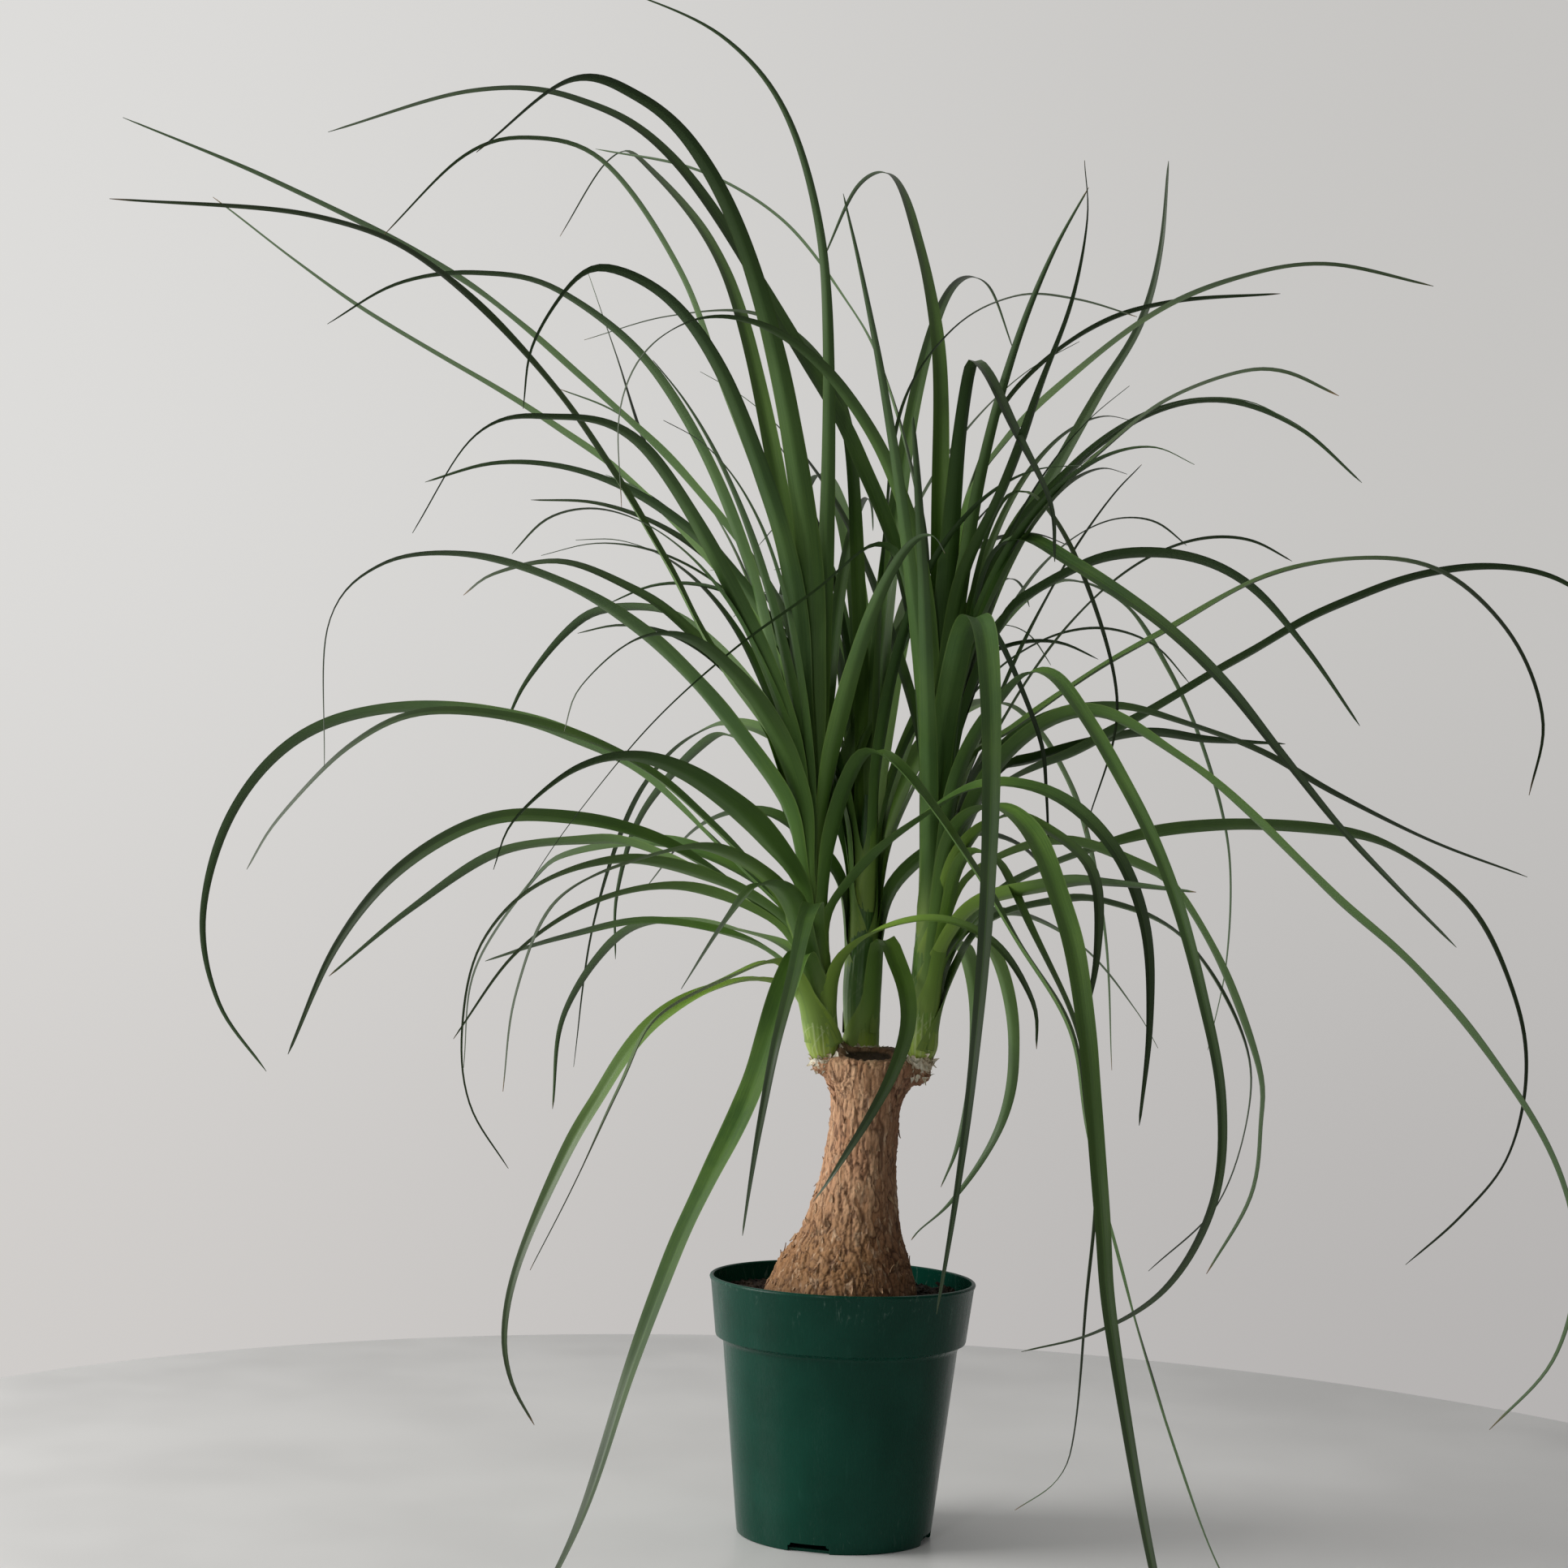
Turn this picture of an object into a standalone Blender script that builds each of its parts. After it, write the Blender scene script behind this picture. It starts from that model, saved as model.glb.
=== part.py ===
"""Potted ponytail palm: a nursery pot, its soil, a woody trunk with three shoots, and their leaves.

Metres, +Z up. The origin is the centre of the pot's flat bottom. +X is to the right seen from the front,
and +Y points to the back.
"""
import math

import bmesh
import bpy
from mathutils import Matrix, Vector

MM = 0.001
TOUCH_GAP = 0.3 * MM

# Pot
POT_HEIGHT = 146 * MM
POT_RIM_RADIUS = 76.5 * MM
POT_BAND_FOOT_RADIUS = 72 * MM
POT_BAND_FOOT_HEIGHT = 112 * MM
POT_NECK_RADIUS = 67.5 * MM
POT_NECK_HEIGHT = 109 * MM
POT_BASE_RADIUS = 55.7 * MM
POT_WALL = 1.2 * MM
POT_LIP_ROLL = 2.4 * MM
POT_FLOOR = 1.6 * MM
NOTCH_WIDTH = 24 * MM
NOTCH_HEIGHT = 5 * MM
NOTCH_DEPTH = 8 * MM
NOTCH_COUNT = 4
NOTCH_FIRST_DEGREES = -106
NOTCH_RING_HEIGHT = 8 * MM

# Soil
SOIL_TOP = 136 * MM
SOIL_CROWN = 1.5 * MM

# Trunk, from the buried foot up: height, centre x, half width, half depth
TRUNK_SECTIONS = (
    (108, 0, 26, 26),
    (114, 0, 38, 37),
    (124, -1, 44, 43),
    (136, -1, 44.5, 43),
    (146, 0, 41.5, 40),
    (158, 1, 37, 35.5),
    (167, 3, 32, 31),
    (176, 4, 28.3, 27.5),
    (194, 6, 24, 23.5),
    (212, 7.5, 21.5, 21),
    (236, 9.5, 19.9, 20),
    (246, 10, 20.4, 20.4),
    (253, 11, 22.2, 21.4),
    (259, 11.8, 26, 22.4),
    (264.5, 12.5, 30.4, 22.8),
    (269, 13, 33, 22),
    (272.5, 13, 30, 19.5),
)
# Collars that the shoots grow from: centre x, y, z, then half width, half depth, half height
KNOBS = (
    (-12, -3.5, 266, 9, 9.5, 7.2),
    (8, 13, 266, 11, 10, 7.2),
    (35.5, -5, 264.8, 10.5, 10.2, 8.5),
)
SCAR = (12, -9, 273.5, 14, 10.5, 5.5)

# Shoots, from the collar up: height, centre x, centre y, radius
SHOOTS = {
    "left": ((273.6, -15, -4, 7), (286, -17.5, -4, 8.8), (309, -19.5, -4, 9), (335, -22.5, -4, 7.5),
             (361, -24.5, -4, 6), (400, -25, -4, 4.8), (432, -25, -4, 3)),
    "middle": ((273.6, 7.5, 14, 8.2), (290, 6.2, 14, 9.3), (315, 5, 14, 9.5), (350, 5, 14, 7.5),
               (390, 5, 14, 5.5), (425, 5, 14, 3)),
    "right": ((273.6, 40, -5, 7), (287, 41, -5, 7.6), (316, 41.5, -5, 7.4), (350, 42, -5, 6.8),
              (390, 42.5, -5, 5.6), (425, 43, -5, 4.8), (460, 43, -5, 3)),
}
LOWEST_LEAF_HEIGHT = 305
LEAF_ZONE = {"left": 112, "middle": 100, "right": 135}

# Leaves of each shoot, outermost first. Each row is: compass direction in degrees (0 is +X, 90 is +Y), how
# far that direction turns by the tip, how far the blade twists by the tip, blade width in mm, and the route
# that the midrib takes after it leaves the shoot, as (reach from the shoot, height) in mm.
LEAVES = {
    "left": (
        (-130, 0, 30, 10, ((37, 326), (78, 318), (138, 296), (163, 262), (199, 207), (227, 168))),
        (-150, 0, -25, 10, ((51, 315), (106, 291), (141, 246), (161, 212), (183, 161), (190, 125),
                           (185, 97), (170, 72))),
        (-35, 0, 25, 9, ((15, 328), (39, 346), (81, 354), (118, 342), (143, 311), (146, 286))),
        (-108, -4, 30, 13, ((41, 328), (115, 255), (202, 193), (259, 135), (303, 72), (345, 35),
                            (390, 5), (430, 3))),
        (125, 0, 20, 10, ((50, 338), (134, 345), (214, 335), (282, 280), (292, 217))),
        (-158, 0, -35, 12, ((35, 356), (90, 388), (146, 402), (199, 400), (247, 372), (281, 329),
                            (305, 270))),
        (-135, 0, 30, 11, ((30, 352), (85, 372), (148, 380), (209, 366), (247, 334), (257, 290),
                           (250, 252), (223, 218))),
        (-92, -8, 15, 9, ((60, 360), (130, 352), (172, 322), (205, 288), (212, 250), (208, 225),
                          (195, 192))),
        (170, 0, 30, 11, ((36, 371), (105, 431), (156, 455), (207, 466), (268, 465), (320, 445),
                          (357, 400), (372, 340), (360, 288), (328, 248))),
        (-130, 0, 35, 14, ((17, 373), (74, 413), (142, 435), (199, 428), (245, 399), (259, 373))),
        (-30, 0, 30, 12, ((35, 385), (61, 406), (101, 429), (145, 427), (183, 400), (205, 357),
                          (210, 304), (206, 248))),
        (-45, 0, -30, 12, ((12, 395), (24, 430), (42, 448), (72, 431), (116, 388), (153, 345), (192, 299),
                           (207, 244), (237, 165), (269, 93), (301, 36), (333, 9), (375, 4), (425, 3))),
        (115, 0, 15, 9, ((20, 395), (60, 433), (126, 461), (179, 454), (269, 413), (307, 360), (305, 316))),
        (-148, 0, 10, 14, ((28, 425), (94, 489), (137, 517), (183, 534), (232, 541), (279, 531), (307, 498),
                           (306, 423))),
        (-160, 0, -30, 12, ((21, 440), (65, 497), (102, 557), (160, 636), (235, 702), (305, 725),
                            (415, 722))),
        (-140, 0, 25, 10, ((20, 450), (60, 523), (135, 608), (202, 616), (246, 600), (282, 545))),
        (134, 0, 22, 12, ((24, 446), (56, 532), (102, 578), (160, 635), (195, 700), (226, 757))),
        (160, 0, 20, 12, ((18, 453), (32, 510), (111, 594), (190, 649), (317, 721), (420, 792))),
        (180, 0, 15, 12, ((15, 468), (26, 530), (80, 600), (150, 663), (223, 718), (325, 767), (419, 803))),
        (-142, 0, 35, 11, ((14, 478), (25, 548), (49, 604), (80, 658), (116, 692), (155, 704), (180, 695),
                           (206, 656), (211, 620))),
        (-174, 0, 20, 8, ((7, 490), (24, 560), (66, 662), (93, 726), (138, 784), (181, 795), (218, 782),
                          (262, 733))),
        (-123, 0, 40, 12, ((9.5, 490), (18.5, 561), (55, 658), (98, 726), (148, 766), (200, 780), (258, 774),
                           (330, 720))),
        (-85, -60, 15, 8, ((4, 500), (9, 620), (18, 697), (31, 748), (61, 807), (99, 841), (148, 861))),
    ),
    "middle": (
        (-46, -69, 20, 10, ((13, 335), (18, 342), (28.4, 329), (43.4, 312), (55.7, 293), (60.6, 271),
                            (61, 245), (58, 224), (55, 209), (58, 193))),
        (60, 0, 25, 11, ((20, 400), (90, 470), (190, 490), (290, 440), (350, 350), (372, 250))),
        (122, 0, -30, 12, ((20, 400), (90, 455), (180, 470), (270, 430), (330, 340), (352, 240))),
        (80, 0, 30, 12, ((20, 420), (80, 500), (170, 560), (270, 560), (350, 500), (400, 410))),
        (100, 0, -25, 11, ((15, 445), (50, 540), (120, 610), (210, 640), (300, 600), (360, 520))),
        (140, 0, -20, 9, ((9, 480), (15, 560), (26, 642), (50, 686), (100, 718), (173, 724), (246, 716))),
        (-30, -15, 20, 9, ((5, 480), (5, 560), (14, 650), (47, 694), (91, 709), (137, 702), (187, 685))),
        (70, 0, 15, 10, ((10, 480), (30, 580), (70, 680), (130, 750), (210, 770), (280, 740))),
    ),
    "right": (
        (20, 0, 25, 9, ((35, 350), (80, 366), (112, 367), (165, 348), (206, 294), (214, 249), (195, 190),
                        (150, 150))),
        (55, 0, 30, 12, ((35, 345), (96, 358), (185, 338), (258, 298), (292, 272))),
        (-50, 0, -20, 8, ((25, 385), (53, 389), (82, 352), (120, 300), (136, 247), (139, 205), (135, 156),
                          (130, 84), (119, 55), (87, 32))),
        (-65, -4, 20, 11, ((25, 398), (70, 418), (116, 403), (153, 363), (178, 315), (207, 212), (220, 163),
                          (251, 97), (283, 42), (310, 11), (350, 4), (395, 3))),
        (12, 0, 30, 11, ((50, 375), (117, 403), (174, 414), (235, 415), (285, 406), (338, 371), (368, 316),
                         (376, 270), (365, 222), (336, 187), (302, 158))),
        (-32, 0, -35, 11, ((25, 415), (58, 458), (102, 473), (156, 447), (200, 415), (246, 375), (294, 337),
                           (335, 293), (368, 244), (380, 196), (370, 146), (338, 106))),
        (-2, 0, 25, 10, ((20, 425), (55, 467), (99, 480), (143, 472), (188, 457), (232, 434), (288, 409),
                        (342, 391))),
        (26, 0, -35, 12, ((28, 420), (100, 457), (160, 489), (217, 522), (281, 556), (350, 582), (415, 592),
                          (470, 584), (512, 552))),
        (-62, 0, 30, 8, ((26, 435), (79, 484), (118, 490), (158, 461), (204, 417), (238, 374), (264, 325),
                          (283, 274), (280, 225), (244, 178), (184, 146), (113, 124))),
        (-19, 0, 18, 12, ((18.5, 440), (48, 465), (92, 497), (135, 522), (186, 551), (238, 562), (284, 555),
                          (322, 520), (340, 475), (334, 434))),
        (11, 0, -30, 11, ((16, 465), (38, 527), (58, 547), (99, 569), (147, 573), (188, 558), (225, 522),
                          (260, 478))),
        (50, 0, 15, 7, ((16, 460), (55, 525), (120, 562), (190, 556), (242, 522), (292, 470), (328, 404),
                        (330, 332), (310, 272))),
        (-80, -10, 15, 12, ((15, 450), (45, 495), (80, 520), (120, 510), (150, 465), (175, 405), (195, 338),
                            (210, 266), (212, 207), (205, 158))),
        (-39.5, 0, 30, 11, ((15, 465), (30, 550), (52, 572), (90, 556), (148, 522), (190, 488), (226, 450),
                          (262, 412), (296, 381), (330, 352))),
        (-156, 0, 12, 7, ((12.5, 480), (24.5, 552), (44, 567), (81, 537), (130, 500), (177, 456), (221, 401),
                          (248, 360))),
        (-62, 0, 25, 12, ((11, 480), (23, 545), (64, 596), (97, 647), (127, 692), (139, 735), (134, 768))),
        (-128, 0, 16, 9, ((8, 490), (26, 562), (60, 612), (112, 650), (168, 667), (223, 663), (266, 640),
                          (286, 605), (282, 557))),
        (32, 0, 18, 12, ((16, 488), (44, 568), (79, 621), (110, 672), (140, 718), (154, 766), (158, 822))),
        (6, 0, -25, 10, ((11, 490), (32, 565), (70, 615), (116, 652), (162, 664), (208, 651), (248, 620))),
        (170, 0, -35, 11, ((11, 480), (24, 550), (47, 610), (78, 666), (164, 792), (229, 834), (295, 840),
                           (384, 816))),
        (137, 0, 30, 8, ((9, 500), (19, 589), (53, 679), (88, 728), (143, 782), (217, 822), (310, 849))),
        (103, 0, 10, 9, ((6, 500), (12, 600), (27, 689), (81, 766), (147, 821), (238, 835), (327, 806))),
        (-18, 0, 30, 11, ((6, 500), (13, 590), (36, 631), (76, 670), (124, 705), (168, 722), (216, 728),
                          (274, 714))),
    ),
}
LEAF_STATIONS = 20
LEAF_THICKNESS = 1.2 * MM
LEAF_TIP_THICKNESS = 0.6 * MM
LEAF_TIP_SHARE = 0.12
LEAF_TAPER_START = 0.25
LEAF_TAPER_CURVE = 0.95
LEAF_BREADTH = 1.25
LEAF_BASE_SHARE = 0.24
LEAF_BASE_LENGTH_SHARE = 0.25
LEAN_START = 0.03
LEAN_END = 0.33
LEAN_STRENGTH = 1.1
CHANNEL_SHARE = 0.2


def material(name, colour, roughness, metallic=0.0):
    made = bpy.data.materials.new(name)
    made.use_nodes = True
    shader = made.node_tree.nodes["Principled BSDF"]
    shader.inputs["Base Color"].default_value = (*colour, 1.0)
    shader.inputs["Roughness"].default_value = roughness
    shader.inputs["Metallic"].default_value = metallic
    made.diffuse_color = (*colour, 1.0)
    return made


def add_object(name, bm, look, parent=None, smooth_angle=35):
    mesh = bpy.data.meshes.new(name)
    bmesh.ops.recalc_face_normals(bm, faces=bm.faces)
    bm.to_mesh(mesh)
    bm.free()
    mesh.shade_smooth()
    mesh.set_sharp_from_angle(angle=math.radians(smooth_angle))
    mesh.materials.append(look)
    made = bpy.data.objects.new(name, mesh)
    bpy.context.scene.collection.objects.link(made)
    made.parent = parent
    return made


def boolean(target, cutter, operation):
    cutter.hide_render = True
    cutter.display_type = "WIRE"
    step = target.modifiers.new(cutter.name, "BOOLEAN")
    step.operation = operation
    step.solver = "EXACT"
    step.object = cutter


def turned(profile, segments):
    """A closed solid turned about Z from (radius, height) pairs; a radius of 0 closes it on the axis."""
    bm = bmesh.new()
    points = [bm.verts.new((radius, 0, height)) for radius, height in profile]
    edges = [bm.edges.new((a, b)) for a, b in zip(points, points[1:])]
    bmesh.ops.spin(bm, geom=points + edges, cent=(0, 0, 0), axis=(0, 0, 1), angle=math.tau, steps=segments,
                   use_merge=True)
    bmesh.ops.remove_doubles(bm, verts=bm.verts, dist=0.01 * MM)
    return bm


def ring_stack(sections, segments):
    """A closed solid through flat elliptical rings, given as (height, x, y, half width, half depth)."""
    bm = bmesh.new()
    rings = []
    for height, x, y, half_width, half_depth in sections:
        ring = []
        for step in range(segments):
            angle = math.tau * step / segments
            ring.append(bm.verts.new((x + half_width * math.cos(angle), y + half_depth * math.sin(angle),
                                      height)))
        rings.append(ring)
    for low, high in zip(rings, rings[1:]):
        for step in range(segments):
            after = (step + 1) % segments
            bm.faces.new((low[step], low[after], high[after], high[step]))
    bm.faces.new(rings[0])
    bm.faces.new(rings[-1])
    return bm


def ellipsoid(name, row, look):
    x, y, z, half_width, half_depth, half_height = (value * MM for value in row)
    bm = bmesh.new()
    bmesh.ops.create_uvsphere(bm, u_segments=16, v_segments=10, radius=1,
                              matrix=Matrix.Diagonal((half_width, half_depth, half_height, 1)))
    made = add_object(name, bm, look)
    made.location = (x, y, z)
    return made


def wall_radius(height):
    """Outer radius of the pot's tapered wall below its band."""
    share = height / POT_NECK_HEIGHT
    return POT_BASE_RADIUS + share * (POT_NECK_RADIUS - POT_BASE_RADIUS)


def make_pot(look):
    inner_rim = POT_RIM_RADIUS - POT_LIP_ROLL
    outer = [
        (0, 0),
        (POT_BASE_RADIUS - 1 * MM, 0),
        (POT_BASE_RADIUS, 1 * MM),
        (wall_radius(NOTCH_RING_HEIGHT), NOTCH_RING_HEIGHT),
        (POT_NECK_RADIUS, POT_NECK_HEIGHT),
        (POT_BAND_FOOT_RADIUS, POT_BAND_FOOT_HEIGHT),
        (POT_RIM_RADIUS - 0.4 * MM, POT_HEIGHT - POT_LIP_ROLL),
        (POT_RIM_RADIUS, POT_HEIGHT - 1.2 * MM),
        (POT_RIM_RADIUS - 0.7 * MM, POT_HEIGHT - 0.2 * MM),
    ]
    inner = [
        (inner_rim + 0.6 * MM, POT_HEIGHT),
        (inner_rim, POT_HEIGHT - 0.9 * MM),
        (inner_rim + 0.5 * MM, POT_HEIGHT - POT_LIP_ROLL),
        (POT_BAND_FOOT_RADIUS - POT_WALL, POT_BAND_FOOT_HEIGHT + 1 * MM),
        (POT_NECK_RADIUS - POT_WALL, POT_NECK_HEIGHT + 1 * MM),
        (wall_radius(NOTCH_RING_HEIGHT) - POT_WALL, NOTCH_RING_HEIGHT),
        (wall_radius(POT_FLOOR) - POT_WALL, POT_FLOOR),
        (0, POT_FLOOR),
    ]
    pot = add_object("nursery_pot", turned(outer + inner, 64), look)
    for index in range(NOTCH_COUNT):
        angle = math.radians(NOTCH_FIRST_DEGREES + 360 * index / NOTCH_COUNT)
        bm = bmesh.new()
        bmesh.ops.create_cube(bm, size=1, matrix=Matrix.Diagonal((NOTCH_DEPTH, NOTCH_WIDTH,
                                                                  2 * NOTCH_HEIGHT, 1)))
        notch = add_object(f"notch_cutter_{index + 1}", bm, look)
        reach = POT_BASE_RADIUS
        notch.location = (reach * math.cos(angle), reach * math.sin(angle), 0)
        notch.rotation_euler = (0, 0, angle)
        boolean(pot, notch, "DIFFERENCE")
    return pot


def trunk_sections(margin=0.0, top=None):
    rows = []
    for height, x, half_width, half_depth in TRUNK_SECTIONS:
        if top is None or height <= top:
            rows.append((height * MM, x * MM, 0, half_width * MM + margin, half_depth * MM + margin))
    return rows


def make_soil(look):
    floor = POT_FLOOR + TOUCH_GAP
    gap = POT_WALL + TOUCH_GAP
    band_share = (SOIL_TOP - POT_BAND_FOOT_HEIGHT) / (POT_HEIGHT - POT_BAND_FOOT_HEIGHT)
    top_radius = POT_BAND_FOOT_RADIUS + band_share * (POT_RIM_RADIUS - POT_BAND_FOOT_RADIUS) - gap
    profile = [
        (0, floor),
        (wall_radius(floor) - gap, floor),
        (POT_NECK_RADIUS - gap, POT_NECK_HEIGHT + 1 * MM),
        (POT_BAND_FOOT_RADIUS - gap - 0.3 * MM, POT_BAND_FOOT_HEIGHT + 1.6 * MM),
        (top_radius - 0.6 * MM, SOIL_TOP - 2 * MM),
        (top_radius - 5 * MM, SOIL_TOP - 0.5 * MM),
        (0, SOIL_TOP + SOIL_CROWN),
    ]
    soil = add_object("potting_soil", turned(profile, 64), look)
    first = trunk_sections(TOUCH_GAP)
    sunk = [(first[0][0] - TOUCH_GAP, *first[0][1:])] + first[1:]
    pocket = add_object("trunk_pocket_cutter", ring_stack(sunk, 40), look)
    boolean(soil, pocket, "DIFFERENCE")
    return soil


def make_trunk(look):
    trunk = add_object("trunk", ring_stack(trunk_sections(), 40), look)
    for index, row in enumerate(KNOBS):
        boolean(trunk, ellipsoid(f"knob_shape_{index + 1}", row, look), "UNION")
    boolean(trunk, ellipsoid("scar_cutter", SCAR, look), "DIFFERENCE")
    return trunk


def make_shoot(side, look):
    rows = [(z * MM, x * MM, y * MM, radius * MM, radius * MM) for z, x, y, radius in SHOOTS[side]]
    return add_object(f"{side}_shoot", ring_stack(rows, 16), look)


def shoot_at(side, height):
    """The shoot's axis point and radius at a height, all in mm."""
    rows = SHOOTS[side]
    for low, high in zip(rows, rows[1:]):
        if height <= high[0]:
            share = (height - low[0]) / (high[0] - low[0])
            return [a + share * (b - a) for a, b in zip(low[1:], high[1:])]
    return list(rows[-1][1:])


def smooth_route(points, count):
    """Evenly spaced points on a Catmull-Rom curve through the given (reach, height) points."""
    padded = [2 * points[0] - points[1]] + points + [2 * points[-1] - points[-2]]
    steps_per_span = 12
    dense = []
    for index in range(1, len(padded) - 2):
        a, b, c, d = padded[index - 1:index + 3]
        for step in range(steps_per_span):
            t = step / steps_per_span
            dense.append(0.5 * (2 * b + (c - a) * t + (2 * a - 5 * b + 4 * c - d) * t * t
                                + (3 * b - a - 3 * c + d) * t ** 3))
    dense.append(points[-1])
    travelled = [0.0]
    for a, b in zip(dense, dense[1:]):
        travelled.append(travelled[-1] + (b - a).length)
    even = []
    index = 0
    for step in range(count):
        goal = travelled[-1] * step / (count - 1)
        while index < len(dense) - 2 and travelled[index + 1] < goal:
            index += 1
        share = (goal - travelled[index]) / (travelled[index + 1] - travelled[index])
        even.append(dense[index].lerp(dense[index + 1], min(share, 1.0)))
    return even


def leaf_midrib(side, rank, row):
    """Points along a leaf's midrib, and its direction at each point."""
    toward, turn, _, _, route = row
    count = len(LEAVES[side])
    base_height = LOWEST_LEAF_HEIGHT + LEAF_ZONE[side] * rank / (count - 1)
    axis_x, axis_y, radius = shoot_at(side, base_height)
    start = Vector((radius + 1.2, base_height))
    flat = smooth_route([start] + [Vector(pair) for pair in route], LEAF_STATIONS)
    points = []
    angles = []
    for index, (reach, height) in enumerate(flat):
        angle = math.radians(toward + turn * (index / (LEAF_STATIONS - 1)) ** 2)
        points.append(Vector((axis_x + reach * math.cos(angle), axis_y + reach * math.sin(angle),
                              height)) * MM)
        angles.append(angle)
    return points, angles


def blade_share(t):
    """Blade width along the leaf as a share of its full width."""
    opening = min(t / LEAF_BASE_LENGTH_SHARE, 1.0)
    share = LEAF_BASE_SHARE + (1 - LEAF_BASE_SHARE) * opening
    if t > LEAF_TAPER_START:
        fall = (t - LEAF_TAPER_START) / (1 - LEAF_TAPER_START)
        share *= 1 - (1 - LEAF_TIP_SHARE) * fall ** LEAF_TAPER_CURVE
    return share


def twist_share(t, angle):
    """How much of its full twist a blade has: one that points sideways leans over early."""
    rise = min(max((t - LEAN_START) / (LEAN_END - LEAN_START), 0.0), 1.0)
    return t * t + LEAN_STRENGTH * abs(math.cos(angle)) * rise * rise * (3 - 2 * rise)


def make_leaf(side, rank, row, look):
    """A closed, channelled blade: two edges, an upper midrib and a keel at each station."""
    points, angles = leaf_midrib(side, rank, row)
    twist = math.radians(row[2])
    width = row[3] * LEAF_BREADTH * MM
    bm = bmesh.new()
    rings = []
    for index, centre in enumerate(points):
        t = index / (LEAF_STATIONS - 1)
        ahead = points[min(index + 1, LEAF_STATIONS - 1)]
        behind = points[max(index - 1, 0)]
        along = (ahead - behind).normalized()
        across = Vector((-math.sin(angles[index]), math.cos(angles[index]), 0))
        across = (Matrix.Rotation(twist * twist_share(t, angles[index]), 3, along) @ across).normalized()
        upward = along.cross(across).normalized()
        half = 0.5 * width * blade_share(t)
        thick = LEAF_THICKNESS + t * (LEAF_TIP_THICKNESS - LEAF_THICKNESS)
        lift = 2 * half * CHANNEL_SHARE
        ring = [
            centre - across * half + upward * lift,
            centre - upward * thick / 2,
            centre + across * half + upward * lift,
            centre + upward * thick / 2,
        ]
        sunk = min(0.0, min(point.z for point in ring))
        rings.append([bm.verts.new((point.x, point.y, point.z - sunk)) for point in ring])
    for low, high in zip(rings, rings[1:]):
        for corner in range(4):
            after = (corner + 1) % 4
            bm.faces.new((low[corner], low[after], high[after], high[corner]))
    bm.faces.new(rings[0])
    bm.faces.new(rings[-1])
    return add_object(f"{side}_leaf_{rank + 1:02d}", bm, look)


def main():
    for old in list(bpy.data.objects):
        bpy.data.objects.remove(old)
    make_pot(material("green_pot_plastic", (0.012, 0.07, 0.045), 0.35))
    make_soil(material("dark_soil", (0.035, 0.022, 0.014), 0.95))
    make_trunk(material("tan_bark", (0.34, 0.22, 0.13), 0.8))
    for side in SHOOTS:
        make_shoot(side, material(f"{side}_shoot_green", (0.22, 0.32, 0.06), 0.5))
        blade_green = material(f"{side}_leaf_green", (0.06, 0.17, 0.05), 0.42)
        for rank, row in enumerate(LEAVES[side]):
            make_leaf(side, rank, row, blade_green)


main()
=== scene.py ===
"""Looks of the potted ponytail palm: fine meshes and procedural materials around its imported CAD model.

Lengths in the tables are millimetres, and metres everywhere else. +Z is up, +X is to the right seen from the
front and +Y points to the back.
"""

import math
import random

import bmesh
import bpy
import numpy as np
from mathutils import Matrix, Vector, noise


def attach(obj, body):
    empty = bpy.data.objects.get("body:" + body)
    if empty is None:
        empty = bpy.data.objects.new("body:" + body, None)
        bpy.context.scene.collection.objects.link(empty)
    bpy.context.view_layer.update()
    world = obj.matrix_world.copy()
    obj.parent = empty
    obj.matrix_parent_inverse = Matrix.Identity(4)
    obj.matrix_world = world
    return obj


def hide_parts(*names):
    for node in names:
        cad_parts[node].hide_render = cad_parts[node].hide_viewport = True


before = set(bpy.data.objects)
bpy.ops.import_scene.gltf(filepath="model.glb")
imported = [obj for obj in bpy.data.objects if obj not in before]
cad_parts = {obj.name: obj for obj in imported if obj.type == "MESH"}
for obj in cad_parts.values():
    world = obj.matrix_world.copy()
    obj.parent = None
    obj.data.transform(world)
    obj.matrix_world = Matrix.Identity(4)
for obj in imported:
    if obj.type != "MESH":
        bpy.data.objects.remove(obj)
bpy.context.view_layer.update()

MM = 0.001
BODY = "root"

# Camera
CAMERA_PLACE = (-0.0443, -1.65, 0.372)
CAMERA_PITCH_DEGREES = 1.98
CAMERA_ROLL_DEGREES = 2.14
CAMERA_LENS = 65.37
SENSOR_WIDTH = 36.0

# Pot
POT_HEIGHT = 146 * MM
POT_RIM_RADIUS = 76.5 * MM
POT_BAND_FOOT_RADIUS = 72 * MM
POT_BAND_FOOT_HEIGHT = 112 * MM
POT_NECK_RADIUS = 67.5 * MM
POT_NECK_HEIGHT = 109 * MM
POT_BASE_RADIUS = 55.7 * MM
POT_WALL = 1.2 * MM
POT_LIP_ROLL = 2.4 * MM
POT_FLOOR = 1.6 * MM
NOTCH_WIDTH = 24 * MM
NOTCH_HEIGHT = 5 * MM
NOTCH_DEPTH = 8 * MM
NOTCH_COUNT = 4
NOTCH_FIRST_DEGREES = -106

# Soil
SOIL_TOP = 136 * MM

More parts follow.
